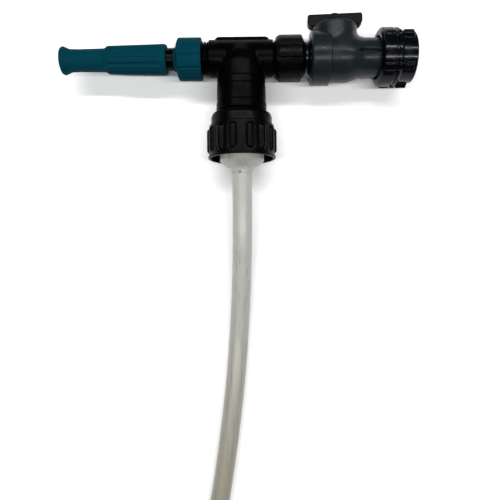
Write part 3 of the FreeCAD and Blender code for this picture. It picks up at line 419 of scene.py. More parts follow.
# %% Moulded grain
tree, given, out = group(
    "moulded grain",
    [("Height", "Float", 0.00002), ("Scale", "Float", 900.0), ("Waviness", "Float", 0.00008)],
    [("Normal", "Vector")],
)
where = add(tree, "ShaderNodeTexCoord").outputs["Object"]
grain = noise(tree, where, given["Scale"], 4.0)
waves = noise(tree, where, 55.0, 2.0)
coarse = add(tree, "ShaderNodeBump", {"Height": waves, "Distance": given["Waviness"]})
fine = add(
    tree, "ShaderNodeBump",
    {"Height": grain, "Distance": given["Height"], "Normal": coarse.outputs[0]},
)
tree.links.new(fine.outputs[0], out["Normal"])
moulded_grain = tree
print(tree.name, "has", len(tree.nodes), "nodes")

# %% Handling marks
tree, given, out = group(
    "handling marks",
    [("Direction", "Vector", (40, 900, 900))],
    [("Smudges", "Float"), ("Scratches", "Float")],
)
where = add(tree, "ShaderNodeTexCoord").outputs["Object"]
smudges = between(tree, noise(tree, where, 90.0, 4.0, 0.65), 0.42, 0.66)
stretched = vectors(tree, "MULTIPLY", where, given["Direction"])
lines = between(tree, noise(tree, stretched, 1.0, 2.0), 0.66, 0.74)
patches = between(tree, noise(tree, where, 35.0, 2.0), 0.50, 0.62)
tree.links.new(smudges, out["Smudges"])
tree.links.new(maths(tree, "MULTIPLY", lines, patches), out["Scratches"])
handling_marks = tree
print(tree.name, "has", len(tree.nodes), "nodes")

# %% Settled dust
tree, given, out = group(
    "settled dust", [("Speck scale", "Float", 1400.0)], [("Dust", "Float"), ("Specks", "Float")]
)
coordinates = add(tree, "ShaderNodeTexCoord").outputs
upward = add(tree, "ShaderNodeSeparateXYZ", {0: coordinates["Normal"]}).outputs[2]
film_and_shade = between(tree, noise(tree, coordinates["Object"], 140.0, 5.0, 0.7), 0.45, 0.75)
lying = between(tree, upward, 0.1, 0.95)
specks = between(tree, noise(tree, coordinates["Object"], given["Speck scale"], 1.0), 0.74, 0.80)
tree.links.new(maths(tree, "MULTIPLY", film_and_shade, lying), out["Dust"])
tree.links.new(maths(tree, "MULTIPLY", specks, lying), out["Specks"])
settled_dust = tree
print(tree.name, "has", len(tree.nodes), "nodes")

# %% Hose colour: painted shade darkens and yellows it along the hose, faint streaks of painted light scattering run along it, and three small marks
HOSE_MARKS = (  # middle in metres, how fast it fades along each axis, strength
    ((-0.1386, -0.0915, 0.008), (800, 850, 110), 0.9),
    ((-0.1418, -0.127, -0.009), (900, 260, 110), 0.35),
    ((-0.1290, -0.128, -0.011), (900, 30, 130), 0.30),
)
tree, given, out = group(
    "hose shade and stains",
    [("Clean", "Color", (1, 1, 1, 1)), ("Falloff shade", "Color", (1, 1, 1, 1)), ("Stain and streak shade", "Color", (0, 0, 0, 1))],
    [("Colour", "Color")],
)
where = add(tree, "ShaderNodeTexCoord").outputs["Object"]
along = add(tree, "ShaderNodeSeparateXYZ", {0: where}).outputs[1]
# painted light: faint darker streaks along the hose stand in for light scattering in the milky tube; the
# three marks below are stains
streaks = noise(tree, vectors(tree, "MULTIPLY", where, (420, 9, 420)), 1.0, 3.0)
# painted shade: the hose turns darker and yellower further from the cuff, standing in for the light falling
# off
film_and_shade = mixed(tree, between(tree, along, -0.13, -0.40), given["Clean"], given["Falloff shade"])
film_and_shade = mixed(tree, maths(tree, "MULTIPLY", between(tree, streaks, 0.52, 0.75), 0.4), film_and_shade, given["Stain and streak shade"])
for middle, spread, strength in HOSE_MARKS:
    away = vectors(tree, "MULTIPLY", vectors(tree, "SUBTRACT", where, middle), spread)
    away = add(tree, "ShaderNodeVectorMath", {0: away}, operation="LENGTH").outputs["Value"]
    mark = maths(tree, "MULTIPLY", between(tree, away, 1.6, 0.4), strength)
    film_and_shade = mixed(tree, mark, film_and_shade, given["Stain and streak shade"])
tree.links.new(film_and_shade, out["Colour"])
hose_shade_and_stains = tree
print(tree.name, "has", len(tree.nodes), "nodes")

# %% Plastics
DUST_COLOUR = (0.16, 0.16, 0.15, 1)


def shaded(name, **values):
    """A material with one Principled shader, whose sockets get the values by name."""
    material = bpy.data.materials.new(name)
    material.use_nodes = True
    tree = material.node_tree
    shader = tree.nodes["Principled BSDF"]
    fill(tree, shader, {key.replace("_", " "): value for key, value in values.items()})
    return material, tree, shader.inputs


def plastic(name, colour, worn, roughness, dust=0.05, shine=0.3, grain=0.00002, marks=0.5):
    """Moulded plastic: its colour paler where scratched or dusty, and duller where smudged."""
    material, tree, socket = shaded(name, Specular_IOR_Level=shine)
    marked = used(tree, handling_marks)
    dusty = used(tree, settled_dust)
    scratched = maths(tree, "MULTIPLY", marked["Scratches"], marks)
    handled = mixed(tree, scratched, (*colour, 1), (*worn, 1))
    film_and_shade = maths(tree, "MULTIPLY", dusty["Dust"], dust)
    cover = maths(tree, "MAXIMUM", film_and_shade, maths(tree, "MULTIPLY", dusty["Specks"], dust * 1.5))
    tree.links.new(mixed(tree, cover, handled, DUST_COLOUR), socket["Base Color"])
    dull = maths(tree, "MULTIPLY_ADD", marked["Smudges"], 0.12, roughness)
    tree.links.new(dull, socket["Roughness"])
    tree.links.new(used(tree, moulded_grain, {"Height": grain})["Normal"], socket["Normal"])
    return material


black = plastic("black plastic", (0.0006, 0.0011, 0.0022), (0.02, 0.02, 0.022), 0.13, 0.02, 0.15)
tee_black = plastic("tee black", (0.0002, 0.0003, 0.0004), (0.006, 0.006, 0.007), 0.30, 0.008, 0.025)
nut_black = plastic("nut black", (0.0004, 0.0005, 0.0008), (0.008, 0.008, 0.009), 0.27, 0.012, 0.055)
handle_black = plastic("handle black", (0.0018, 0.0028, 0.0043), (0.015, 0.015, 0.017), 0.36, 0.02, 0.07)
grey = plastic("grey plastic", (0.0075, 0.0106, 0.0124), (0.035, 0.035, 0.035), 0.25, 0.03, 0.13)
teal = plastic("teal plastic", (0.0, 0.031, 0.047), (0.008, 0.07, 0.095), 0.5, 0.006, 0.02, marks=0.35)
rubber = plastic("black rubber", (0.004, 0.004, 0.004), (0.02, 0.02, 0.02), 0.7)
white = plastic("white plastic", (0.6, 0.6, 0.58), (0.4, 0.4, 0.38), 0.4)
fabric = plastic("strap fabric", (0.006, 0.006, 0.007), (0.03, 0.03, 0.03), 0.85, grain=0.0001)
print("plastics:", ", ".join(m.name for m in (black, tee_black, nut_black, handle_black, grey, teal)))

# %% Hose, clear plastic and metals
hose_material, tree, socket = shaded(
    "milky hose", Roughness=0.34, IOR=1.5, Subsurface_Weight=0.35, Subsurface_Scale=0.004,
    Subsurface_Radius=(1.0, 0.95, 0.85),
)
# the far colour is painted shade from the light falling off; the stain colour also paints the streaks of
# light scattering
film_colours = {
    "Clean": (0.355, 0.355, 0.33, 1), "Falloff shade": (0.24, 0.225, 0.175, 1), "Stain and streak shade": (0.10, 0.085, 0.04, 1),
}
tree.links.new(used(tree, hose_shade_and_stains, film_colours)["Colour"], socket["Base Color"])
clear = shaded(
    "clear plastic", Roughness=0.12, IOR=1.49, Base_Color=(0.86, 0.9, 0.9, 1), Transmission_Weight=0.9
)[0]
brass = shaded("brass", Metallic=1.0, Roughness=0.3, Base_Color=(0.65, 0.42, 0.16, 1))[0]
steel = shaded("steel", Metallic=1.0, Roughness=0.25, Base_Color=(0.55, 0.55, 0.54, 1))[0]

by_slot = {
    "black_plastic": black, "grey_plastic": grey, "teal_plastic": teal, "milky_hose": hose_material,
    "black_rubber": rubber, "white_plastic": white, "brass": brass, "steel": steel,
    "clear_plastic": clear, "strap_fabric": fabric,
}
print("materials:", sorted(m.name for m in bpy.data.materials))

# %% [markdown]
# ## 5. The camera, the floor and the light
#
# The camera looks straight down on the siphon lying on a pale table. Two long tube lights overhead,
# one on each side, draw the two thin lines of shine along the round parts.

# %% Camera
camera = bpy.data.objects.new("camera", bpy.data.cameras.new("camera"))
camera.data.lens, camera.data.sensor_width = 36.27, 36.0
camera.location = (-0.1318, -0.1536, 0.405)
camera.rotation_euler = (0, 0, math.radians(-0.62))
bpy.context.scene.collection.objects.link(camera)
bpy.context.scene.camera = camera
bpy.context.scene.view_settings.view_transform = "Standard"
print("camera at", tuple(camera.location))

# %% Floor and lights
TABLE_GAP = 0.0001
LAMP_HEIGHT = 1.2

floor_material = shaded(
    "pale table", Roughness=0.9, Base_Color=(0.93, 0.93, 0.93, 1), Specular_IOR_Level=0.1
)[0]
bpy.ops.mesh.primitive_plane_add(size=8, location=(0, 0, FLOOR_Z * MM - TABLE_GAP))
floor = bpy.context.object
floor.name = "table"
floor.data.materials.append(floor_material)
floor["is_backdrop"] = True

for name, across in (("tube light far", 0.45), ("tube light near", -0.38)):
    light = bpy.data.lights.new(name, "AREA")
    light.shape, light.size, light.size_y, light.energy = "RECTANGLE", 2.2, 0.06, 17.0
    lamp = bpy.data.objects.new(name, light)
    lamp.location = (-0.13, across, LAMP_HEIGHT)
    lamp.rotation_euler = (-math.atan2(across, LAMP_HEIGHT), 0, 0)
    bpy.context.scene.collection.objects.link(lamp)

world = bpy.data.worlds.new("soft room")
world.use_nodes = True
world.node_tree.nodes["Background"].inputs["Color"].default_value = (0.95, 0.98, 1.0, 1)
world.node_tree.nodes["Background"].inputs["Strength"].default_value = 0.08
bpy.context.scene.world = world
print("lights:", [light.name for light in bpy.data.lights])

# %% [markdown]
# ## 6. The hose, one curve from end to end
#
# The hose leaves the cuff, sinks to the table, winds four layers of coil, and comes back over the
# coil's rim to the gravel tube. Each layer is a spiral r = start + 15.9 * turns, one hose width per
# turn, inwards then outwards, and a quarter turn at one radius lifts it to the next layer. A
# quadratic spline cuts inside its control points by cos(half step), so the radius is divided by it.

# %% Hose
HOSE_OUT = [
    (0.0, -88.0, 0.0), (0.0, -130.0, 0.0), (-1.3, -176.0, -12.0), (-3.8, -220.0, -19.49),
    (-7.3, -262.0, -19.49), (-12.4, -304.0, -19.49), (-18.9, -348.0, -19.49),
    (-27.5, -396.0, -19.49), (-38.0, -448.0, -18.2),
]
HOSE_BACK = [
    (55.0, -394.5, 28.8), (4.5, -395.0, 20.0), (-53.5, -428.5, 6.5), (-87.0, -486.5, -2.45),
    (-87.0, -536.0, -2.45),
]
HOSE_WIDTH = 15.9
COIL_CENTRE = (68.0, -512.0)
COIL_OUTER, COIL_INNER, COIL_LOW = 115.8, 72.2, -17.9
LAYERS, LIFT_TURN, PER_TURN = 4, 0.25, 16


def coil_points():
    """Control points of four layers, as (right, up the page, height) from the branch's axis."""
    turns = (COIL_OUTER - COIL_INNER) / HOSE_WIDTH
    stages = []
    for layer in range(LAYERS):
        ends = (COIL_OUTER, COIL_INNER) if layer % 2 == 0 else (COIL_INNER, COIL_OUTER)
        height = COIL_LOW + layer * HOSE_WIDTH
        stages.append((turns, ends[0], ends[1], height, height))
        if layer < LAYERS - 1:
            stages.append((LIFT_TURN, ends[1], ends[1], height, height + HOSE_WIDTH))
    whole = sum(s[0] for s in stages)
    count = round(whole * PER_TURN)
    inset = (0.5 + 0.5 * math.cos(2 * math.pi / PER_TURN)) ** 0.5
    points = []
    for k in range(1, count + 1):
        done = whole * k / count
        angle = math.pi + 2 * math.pi * done
        for length, r0, r1, z0, z1 in stages:
            if done <= length + 1e-9:
                share = done / length
                break
            done -= length
        radius = (r0 + (r1 - r0) * share) / inset
        right = COIL_CENTRE[0] + radius * math.cos(angle)
        up = COIL_CENTRE[1] + radius * math.sin(angle)
        points.append((right, up, z0 + (z1 - z0) * share))
    return points


route = HOSE_OUT + coil_points() + HOSE_BACK
curve = bpy.data.curves.new("hose", "CURVE")
curve.dimensions = "3D"
curve.bevel_depth = HOSE_WIDTH / 2 * MM
curve.bevel_resolution = 5
curve.resolution_u = 7
curve.use_fill_caps = True
spline = curve.splines.new("NURBS")
spline.points.add(len(route) - 1)
for point, (x, y, z) in zip(spline.points, route):
    point.co = ((x + TEE_X) * MM, y * MM, z * MM, 1)
spline.order_u = 3
spline.use_endpoint_u = True
curve.materials.append(hose_material)
hose = bpy.data.objects.new("hose", curve)
bpy.context.scene.collection.objects.link(hose)
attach(hose, "pump_head")
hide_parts("suction_hose", "hose_coil", "hose_tail")


def spline_length(points):
    """Length of the quadratic spline, by walking each of its pieces."""
    points = np.array(points, float)
    knots = np.concatenate([points[:1], (points[1:-2] + points[2:-1]) / 2, points[-1:]])
    t = np.linspace(0, 1, 24)[:, None]
    total = 0.0
    for start, middle, end in zip(knots[:-1], points[1:-1], knots[1:]):
        walk = (1 - t) ** 2 * start + 2 * t * (1 - t) * middle + t**2 * end
        total += np.linalg.norm(np.diff(walk, axis=0), axis=1).sum()
    return total * MM


hose_length = spline_length(route)
print(f"hose: {len(route)} control points, {hose_length:.3f} m long")

# %% [markdown]
# ## 7. The nuts, the neck and the nozzle
#
# Each outline lists (along, radius, rounding) from the end that the piece starts at. Ribs stand out
# of the wall; grooves sink into it.

# %% Tap nut
tap_outline = [
    (0, 16.6, 0.5), (0, 19.6, 1.2), (1.6, 22.7, 2.0), (10.2, 22.8, 0.6), (10.7, 21.5, 0.4),
    (12.2, 21.5, 0.4), (12.6, 22.5, 0.5), (14.6, 22.5, 0.5), (15.0, 20.9, 0.4), (16.6, 19.9, 0.5),
    (27.2, 19.8, 0.8), (28, 19.0, 0.5), (28, 17.9, 0.4), (27.0, 16.75, 0.3), (13, 16.75, 0.2),
    (13, 18.3, 0.2), (2.6, 18.3, 0.3), (2.6, 16.6, 0.3),
]
TAP_RIBS, TAP_RIB_TURN, TAP_RIB_TOP = 5, 34, 23.6
TAP_RIB_MIDDLE, TAP_RIB_HALF, TAP_RIB_FOOT = 23.0, 2.2, 3.1
TAP_GROOVES, TAP_GROOVE_DEPTH, TAP_GROOVE_HALF = (11.4, 15.9), 1.2, 0.8
TAP_WALL = 19.0


def tap_ribs(along, angle, radius):
    """Five flat-topped ribs with rounded walls, crossed by two grooves round the nut."""
    sideways = from_nearest(angle, TAP_RIBS, math.radians(TAP_RIB_TURN))
    across = 1 - ease(np.abs(TAP_RIB_MIDDLE * np.sin(sideways)), TAP_RIB_HALF, TAP_RIB_FOOT)
    height = across * (ease(along, 2.0, 3.6) * (1 - ease(along, 24.6, 25.3)))
    grooves = sum(np.exp(-(((along - middle) / TAP_GROOVE_HALF) ** 4)) for middle in TAP_GROOVES)
    top = TAP_RIB_TOP - TAP_GROOVE_DEPTH * grooves
    return np.where(radius > TAP_WALL, radius + np.maximum(top - radius, 0) * height, radius)


piece(
    "tap_nut_skin", turned(tap_outline, (-28, 0, 0), "+X", 480, 0.66, tap_ribs),
    black, "black_plastic", "tap_nut", "tap_nut",
)

# %% Valve neck and coupling nut
neck_outline = [
    (0, 9.55, 0.2), (0, 12.5, 0.4), (2.2, 12.5, 1.6), (4.1, 16.5, 0.5), (4.25, 14.0, 0.2),
    (11.98, 14.0, 0.3), (11.98, 7.5, 0.3), (6.5, 7.5, 0.2), (6.5, 9.55, 0.2),
]
piece(
    "valve_neck_skin", turned(neck_outline, (-86.2, 0, 0), "+X", 200, 0.8),
    black, "black_plastic", "pump_head", "valve_neck",
)
coupling_outline = [
    (0, 13.7, 0.3), (0, 16.3, 0.6), (3.1, 17.8, 1.2), (20.1, 17.8, 0.9), (22.8, 12.5, 0.6),
    (22.8, 9.8, 0.3), (16.1, 9.8, 0.3), (16.1, 13.7, 0.3),
]
coupling_grooves = round_grooves(9, 20.0, 18.25, 1.9, 3.4, 30.0, wall=15.0, crest=0.5)
piece(
    "coupling_nut_skin", turned(coupling_outline, (-109.3, 0, 0), "+X", 540, 0.7, coupling_grooves),
    nut_black, "black_plastic", "coupling_nut", "coupling_nut",
)

# %% Union nut and the hose's cuff
union_outline = [
    (1.2, 19.9, 0.3), (1.2, 21.4, 1.0), (2.6, 23.4, 1.8), (5.0, 24.3, 1.6), (10.9, 24.3, 0.3),
    (11.6, 26.0, 0.8), (35.4, 26.3, 0.3), (35.8, 27.1, 0.4), (37.2, 27.1, 0.5), (37.6, 26.4, 0.4),
    (37.6, 25.0, 0.4), (3.2, 23.6, 0.5), (3.2, 19.9, 0.3),
]
UNION_FIRST, UNION_STEP, UNION_SIDE_RIBS = math.radians(15), math.radians(24.6), 7
UNION_LOW, UNION_HIGH = 16.4, 30.6
UNION_MIDDLE, UNION_RIB, UNION_WALL = 24.8, 3.2, 25.5
FOOT_GROOVE, FOOT_DEPTH, FOOT_HALF, FOOT_REACH = 3.35, 0.35, 0.3, 3.6


def union_ribs(along, angle, radius):
    """Seven round ribs on each side, a little further apart at the front and the back, each with a
    fine groove round its foot."""
    about = np.abs((angle + math.pi) % (2 * math.pi) - math.pi)
    nearest = np.clip(np.round((about - UNION_FIRST) / UNION_STEP), 0, UNION_SIDE_RIBS - 1)
    sideways = about - UNION_FIRST - UNION_STEP * nearest
    beyond = outside_range(along, UNION_LOW, UNION_HIGH)
    distance = np.hypot(UNION_MIDDLE * np.sin(sideways), beyond)
    raised = UNION_MIDDLE + np.sqrt(np.maximum(UNION_RIB**2 - distance**2, 0))
    ribbed = np.where(distance < UNION_RIB, np.maximum(radius, raised), radius)
    groove = np.exp(-(((distance - FOOT_GROOVE) / FOOT_HALF) ** 2)) * (beyond < FOOT_REACH)
    return np.where(radius > UNION_WALL, ribbed - FOOT_DEPTH * groove, radius)


piece(
    "union_nut_skin", turned(union_outline, (TEE_X, -42.9, 0), "-Y", 532, 0.76, union_ribs),
    nut_black, "black_plastic", "union_nut", "union_nut",
)
cuff_outline = [
    (0, 15.5, 0.3), (0, 17.7, 0.6), (28.6, 17.7, 1.6), (31.7, 14.5, 3.0), (33.4, 10.2, 3.0),
    (36.2, 8.7, 2.0), (38.4, 8.15, 0.1), (38.4, 8.0, 0.05), (32.0, 8.0, 0.5), (30.0, 11.6, 0.5),
    (27.0, 15.5, 0.5),
]
piece(
    "hose_cuff_skin", turned(cuff_outline, (TEE_X, -53.6, 0), "-Y", 260, 0.8),
    hose_material, "milky_hose", "pump_head", "hose_cuff",
)

# %% Nozzle nut, core and twist sleeve
nozzle_nut_outline = [
    (0, 13.7, 0.3), (0, 16.1, 0.5), (0.9, 16.5, 0.6), (18.4, 16.5, 1.8), (20.0, 12.5, 1.2),
    (20.9, 9.2, 0.8), (22.2, 9.2, 0.3), (22.2, 7.7, 0.2), (12.5, 7.7, 0.3), (12.5, 13.7, 0.3),
]
nut_grooves = round_grooves(10, 6.0, 17.0, 1.3, -1.0, 17.2, wall=14.5)
piece(
    "nozzle_nut_skin", turned(nozzle_nut_outline, (-168.3, 0, 0), "-X", 540, 0.7, nut_grooves),
    teal, "teal_plastic", "nozzle_nut", "nozzle_nut",
)
core_outline = [
    (0, 7.45, 0.1), (0, 8.8, 0.3), (35.0, 8.8, 0.1), (35.0, 7.2, 0.1), (37.0, 7.2, 0.1),
    (37.0, 8.8, 0.1), (41.2, 8.8, 0.4), (43.2, 6.2, 0.6), (58.2, 6.2, 0.6), (65.2, 2.6, 0.4),
    (65.2, 0.01, 0), (56.2, 0.01, 0), (56.2, 4.0, 0.1), (41.2, 5.0, 0.1), (9.9, 5.0, 0.1),
    (9.9, 7.45, 0.1),
]
piece(
    "nozzle_core_skin", turned(core_outline, (-190.8, 0, 0), "-X", 200, 1.5),
    nut_black, "black_plastic", "pump_head", "nozzle_core",
)
sleeve_outline = [
    (0, 9.1, 0.3), (0, 11.3, 0.5), (1.7, 12.0, 1.0), (46.4, 11.0, 1.8), (49.6, 9.1, 1.6),
    (70.0, 8.7, 2.0), (77.6, 8.95, 6.0), (82.4, 11.1, 1.4), (84.1, 10.4, 0.9), (84.1, 8.7, 0.4),
    (68.7, 3.4, 0.6), (64.7, 3.4, 0.6), (58.2, 6.8, 0.4), (44.7, 6.8, 0.4), (42.5, 9.1, 0.4),
]
FLUTES, FLUTE_HALF, FLUTE_DEPTH = 10, 1.9, 1.0
GRIP_MIDDLE, GRIP_WALL = 11.0, 10.0


def flutes(along, angle, radius):
    """Ten grooves as deep at the slim end of the grip as at the wide one."""
    sideways = from_nearest(angle, FLUTES)
    across = np.clip(1 - (GRIP_MIDDLE * sideways / FLUTE_HALF) ** 2, 0, 1)
    depth = FLUTE_DEPTH * across * ease(along, 4.0, 5.2) * (1 - ease(along, 45.0, 46.6))
    return np.where(radius > GRIP_WALL, radius - depth, radius)


piece(
    "nozzle_sleeve_skin", turned(sleeve_outline, (-196.3, 0, 0), "-X", 400, 0.92, flutes),
    teal, "teal_plastic", "sleeve", "nozzle_sleeve",
)

# %% [markdown]
# ## 8. The tee, the valve and its handle
#
# The tee's field joins the threaded arm, the round dome and the branch with fillets. The valve's
# joins its belly to the bonnet with a wide fillet on the side away from the cap's seam.

# %% Tee


ARM, SHOULDER, THREAD_END, THREAD_ROOT = 14.5, 25.5, 37.5, 12.2
BRANCH_LOW, SEAT_LOW = -43.0, -53.2


def tee_field(x, y, z):
    """The tee about the crossing of its axes: `arm` and `side` are distances from the two axes."""
    arm, side = np.hypot(y, z), np.hypot(x, z)
    barrel = rod(arm, x, ARM, -SHOULDER, SHOULDER, 0.9)
    patch = rod(arm, x, 15.25, 13.0 + 0.25 * np.maximum(-2.7 - y, 0), 25.4, 0.35)
    patch = soft_max(soft_max(patch, y + 2.7, 0.3), -z, 0.3)
    barrel = np.minimum(barrel, patch)
    dome = np.hypot(side, np.maximum(y + 7.5, 0)) - 19.1
    dome = soft_max(dome, BRANCH_LOW - y, 0.5)
    steps = np.minimum(
        rod(side, y, 19.35, BRANCH_LOW, -18.1, 0.3), rod(side, y, 19.6, BRANCH_LOW, -24.0, 0.3)
    )
    band = rod(side, y, 20.1, -42.6, -36.5, 0.5)
    branch = np.minimum(np.minimum(dome, steps), band)
    pad = soft_max(np.abs(x - 1.0) - 21.4, y - 15.6, 3.4)
    pad = soft_max(soft_max(pad, np.abs(z) - 6.5, 1.0), -y, 0.5)
    body = soft_min(soft_min(barrel, branch, 1.4), pad, 1.0)
    ends = rod(arm, x, THREAD_ROOT, -THREAD_END, THREAD_END, 0.6)
    seat = rod(side, y, 18.0, SEAT_LOW, -42.0, 0.4)
    spigot = rod(side, y, 15.4, -76.0, -42.0, 1.0)
    body = np.minimum(np.minimum(body, ends), np.minimum(seat, spigot))
    bores = np.minimum(rod(arm, x, 9.7, 31.0, 45.0), rod(arm, x, 8.0, -45.0, -31.0))
    bores = np.minimum(bores, rod(side, y, 12.5, -90.0, -68.0))
    return soft_max(body, -bores, 0.5)


THREAD_PITCH, THREAD_HEIGHT, THREAD_FADE = 2.21, 1.15, 0.8
THREAD_LOW, THREAD_HIGH, THREAD_INSIDE = 25.6, 36.5, 11.6


def thread(way):
    """Screw thread: the crest's angle goes round once for each pitch along the axis."""
    low, high = THREAD_LOW, THREAD_HIGH
    corners = [
        (low, THREAD_INSIDE, 0), (low, THREAD_ROOT, 0.1), (high, THREAD_ROOT, 0.1), (high, THREAD_INSIDE, 0),
    ]

    def crest(along, angle, radius):
        turn = along / THREAD_PITCH - angle / (2 * math.pi)
        height = np.clip(0.5 + 0.75 * np.cos(2 * math.pi * turn), 0, 1)
        ends = ease(along, low, low + THREAD_FADE) * (1 - ease(along, high - THREAD_FADE, high))
        return np.where(radius > 12.0, radius + THREAD_HEIGHT * height * ends, radius)

    return turned(corners, (TEE_X, 0, 0), way, 200, 0.28, crest)


BEAD_SIDES = 6


def bead(path, size):
    """A thin bead along a path: a ring square to the path at each point, closed up at both ends."""
    path = np.array(path, float)
    along = np.gradient(path, axis=0)
    along /= np.linalg.norm(along, axis=1)[:, None]
    out = path * (0, 1, 1)
    side = np.cross(along, out)
    side /= np.linalg.norm(side, axis=1)[:, None]
    out = np.cross(side, along)
    angle = np.linspace(0, 2 * math.pi, BEAD_SIDES, endpoint=False)
    sizes = np.full((len(path), 1, 1), size)
    sizes[[0, -1]] = size / 100
    rings = np.cos(angle)[:, None] * out[:, None] + np.sin(angle)[:, None] * side[:, None]
    rings = path[:, None] + sizes * rings
    quads = wrapped(len(path), BEAD_SIDES)[: (len(path) - 1) * BEAD_SIDES]
    points = rings.reshape(-1, 3)
    return points, facing_out(points, quads)


def on_arm(corners, radius, count=24):
    """A path over the arm through (along, across) corners, at one distance from the arm's axis.

    Its height is sqrt(radius^2 - across^2)."""
    path = []
    for (x0, y0), (x1, y1) in zip(corners[:-1], corners[1:]):
        share = np.linspace(0, 1, count, endpoint=False)[:, None]
        path.append(np.hstack([x0 + (x1 - x0) * share, y0 + (y1 - y0) * share]))
    path = np.concatenate(path + [np.array([corners[-1]], float)])
    height = np.sqrt(radius**2 - path[:, 1] ** 2)
    return np.column_stack([path, height])


def moved(shape, x):
    points, quads = shape
    return points + (x, 0, 0), quads


label_frame = bead(on_arm([(25.0, -2.9), (13.3, -2.9), (15.3, -11.2), (25.0, -11.2)], 15.1), 0.4)
tee = skin(tee_field, (-39, -78, -22), (39, 18, 22), 0.68)
piece(
    "tee_skin",
    joined(moved(tee, TEE_X), moved(label_frame, TEE_X), thread("+X"), thread("-X")),
    tee_black, "black_plastic", "pump_head", "tee_body",
)

# %% Valve body
LENS_X, LENS_APART, LENS_RADIUS = 25.3, 20.73, 22.93


def valve_field(x, y, z):
    """Belly, bonnet and tail about the ball's middle, with a lens-shaped recess at the front."""
    arm, side = np.hypot(y, z), np.hypot(x, z)
    belly = rod(arm, x, 19.2 - 4.1 * ease(x, 7.0, 24.5), -5.1, 43.5, 0.5)
    bonnet = rod(side, y, 17.6, 0.0, 24.2, 0.9)
    body = soft_min(belly, bonnet, 0.4 + 3.2 * ease(x, -5.0, 6.0))
    body = np.minimum(body, rod(arm, x, 16.9, -17.7, 0.0, 0.4))
    lens = np.hypot(x - LENS_X, np.abs(y) + LENS_APART) - LENS_RADIUS
    lens = soft_max(lens, 12.3 - z + 1.15 * np.abs(y), 0.3)
    body = soft_max(body, -lens, 0.35)
    return soft_max(body, -rod(arm, x, 11.0, 36.0, 50.0), 0.5)


valve = skin(valve_field, (-20, -22, -22), (46, 26, 22), 0.5)
piece("valve_body_skin", moved(valve, BALL_X), grey, "grey_plastic", "pump_head", "valve_body")

# %% Valve cap


def cap_field(x, y, z):
    """A ring with a chamfered end, cut away where the bonnet comes through it."""
    arm, side = np.hypot(y, z), np.hypot(x, z)
    ring = soft_max(arm - 21.3, -20.4 - x, 3.0)
    ring = soft_max(ring, x + 5.25, 0.5)
    ring = soft_max(ring, -rod(side, y, 17.75, 0.0, 40.0), 0.5)
    hollow = np.maximum(arm - 17.0, -17.8 - x)
    return soft_max(soft_max(ring, -hollow, 0.3), 14.1 - arm, 0.3)


cap = skin(cap_field, (-22, -23, -23), (-3, 23, 23), 0.45)
piece("valve_cap_skin", moved(cap, BALL_X), grey, "grey_plastic", "pump_head", "valve_cap")

# %% Handle
HANDLE_TURN = math.radians(4.6)
HANDLE_HALF, HANDLE_LOW, HANDLE_TOP = 21.65, 24.5, 34.0


def handle_field(x, y, z):
    """A bar whose ends slope, on a round hub, with the stem's end as a pip on top."""
    right = x * math.cos(HANDLE_TURN) + z * math.sin(HANDLE_TURN)
    front = z * math.cos(HANDLE_TURN) - x * math.sin(HANDLE_TURN)
    end, rise = np.abs(right) - HANDLE_HALF, y - HANDLE_LOW
    bar = soft_max(end, np.maximum(-rise, y - HANDLE_TOP), 0.7)
    bar = soft_max(bar, (end - rise + 2.6) * math.sqrt(0.5), 0.9)
    bar = soft_max(bar, (end + (y - 34.1) + 1.2) * math.sqrt(0.5), 0.5)
    bar = soft_max(bar, np.abs(front) - 5.0 + 0.04 * rise, 1.1)
    pip = rod(np.hypot(x, z), y, 3.4, 30.0, 35.0, 0.5)
    hub = rod(np.hypot(x, z), y, 6.2, HANDLE_LOW, 30.0, 0.9)
    return soft_min(soft_min(bar, hub, 1.0), pip, 0.4)


handle = skin(handle_field, (-24, 22, -11), (24, 36, 11), 0.3)
piece(
    "valve_handle_skin", moved(handle, BALL_X),
    handle_black, "black_plastic", "handle", "valve_handle",
)

# %% [markdown]
# ## 9. The gravel tube and the straps
#
# The tube's cap and the straps that hold the coil go with the hose.

# %% Gravel tube's cap
TUBE_X, TUBE_Z = -224.0, -2.446
cap_outline = [
    (0, 8.05, 0.2), (0, 10.4, 0.8), (10.5, 11.0, 1.6), (15.5, 22.6, 3.0), (22.4, 24.9, 1.2),
    (42, 24.9, 0.6), (42, 22.6, 0.3), (25, 22.6, 0.5), (25, 7.0, 0.5), (16, 7.0, 0.2), (16, 8.05, 0.2),
]
tube_cap = piece(
    "gravel_tube_cap_skin", turned(cap_outline, (TUBE_X, -520, TUBE_Z), "-Y", 240, 1.2),
    black, "black_plastic", "pump_head", "gravel_tube_cap",
)

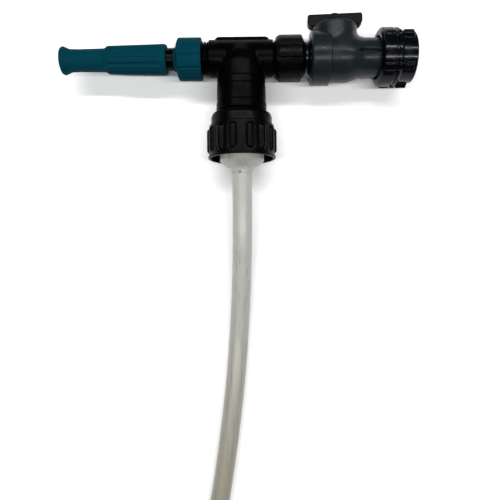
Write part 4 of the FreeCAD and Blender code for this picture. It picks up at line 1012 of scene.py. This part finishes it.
# %% Coil straps
BUNDLE_R, BUNDLE_Z, HALF_R, HALF_Z = 94.0, 33.4, 31.3, 31.95
SQUARENESS = 0.28
STRAP_TURNS = (30, 215, 320)
STRAP_SECTION = [
    (-9.6, 0.0), (9.6, 0.0), (10.0, 0.5), (10.0, 1.0), (9.6, 1.4), (-9.6, 1.4), (-10.0, 1.0), (-10.0, 0.5),
]


def rounded_off(wave):
    """cos or sin flattened towards 1 and -1, which squares up the ellipse that the two draw."""
    return np.sign(wave) * np.abs(wave) ** SQUARENESS


def strap(angle):
    """Closed band round the hose bundle: a squared-up ellipse in the plane through the coil's axis."""
    t = np.linspace(0, 2 * math.pi, 200, endpoint=False)
    path = np.stack([rounded_off(np.cos(t)) * HALF_R, rounded_off(np.sin(t)) * HALF_Z], -1)
    along = np.roll(path, -1, 0) - np.roll(path, 1, 0)
    outward = np.stack([along[:, 1], -along[:, 0]], -1)
    outward /= np.linalg.norm(outward, axis=1)[:, None]
    points = []
    for across, height in STRAP_SECTION:
        spot = path + outward * height
        radial = BUNDLE_R + spot[:, 0]
        points.append(np.stack([
            radial * math.cos(angle) - across * math.sin(angle) + COIL_CENTRE[0] + TEE_X,
            radial * math.sin(angle) + across * math.cos(angle) + COIL_CENTRE[1],
            FLOOR_Z + BUNDLE_Z + spot[:, 1],
        ], -1))
    points = np.stack(points, 1).reshape(-1, 3)
    return points, facing_out(points, wrapped(len(t), len(STRAP_SECTION)))


straps = piece(
    "coil_straps_skin", joined(*(strap(math.radians(turn)) for turn in STRAP_TURNS)),
    fabric, "strap_fabric", "pump_head", "coil_ties",
)

# %% [markdown]
# ## 10. What stays from the CAD part
#
# The inner pieces keep their CAD shapes and take the same materials.

# %% Inner pieces
for subpart in frame["record"]["subparts"]:
    node = frame["nodes"][subpart["node"]]
    node.data.materials.clear()
    node.data.materials.append(by_slot[subpart["material_slot"]])

# %% Sizes and finish
bounds = {"frame": first_bounds, "made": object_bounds()}
{k: [list(map(float, corner)) for corner in v] for k, v in bounds.items()}
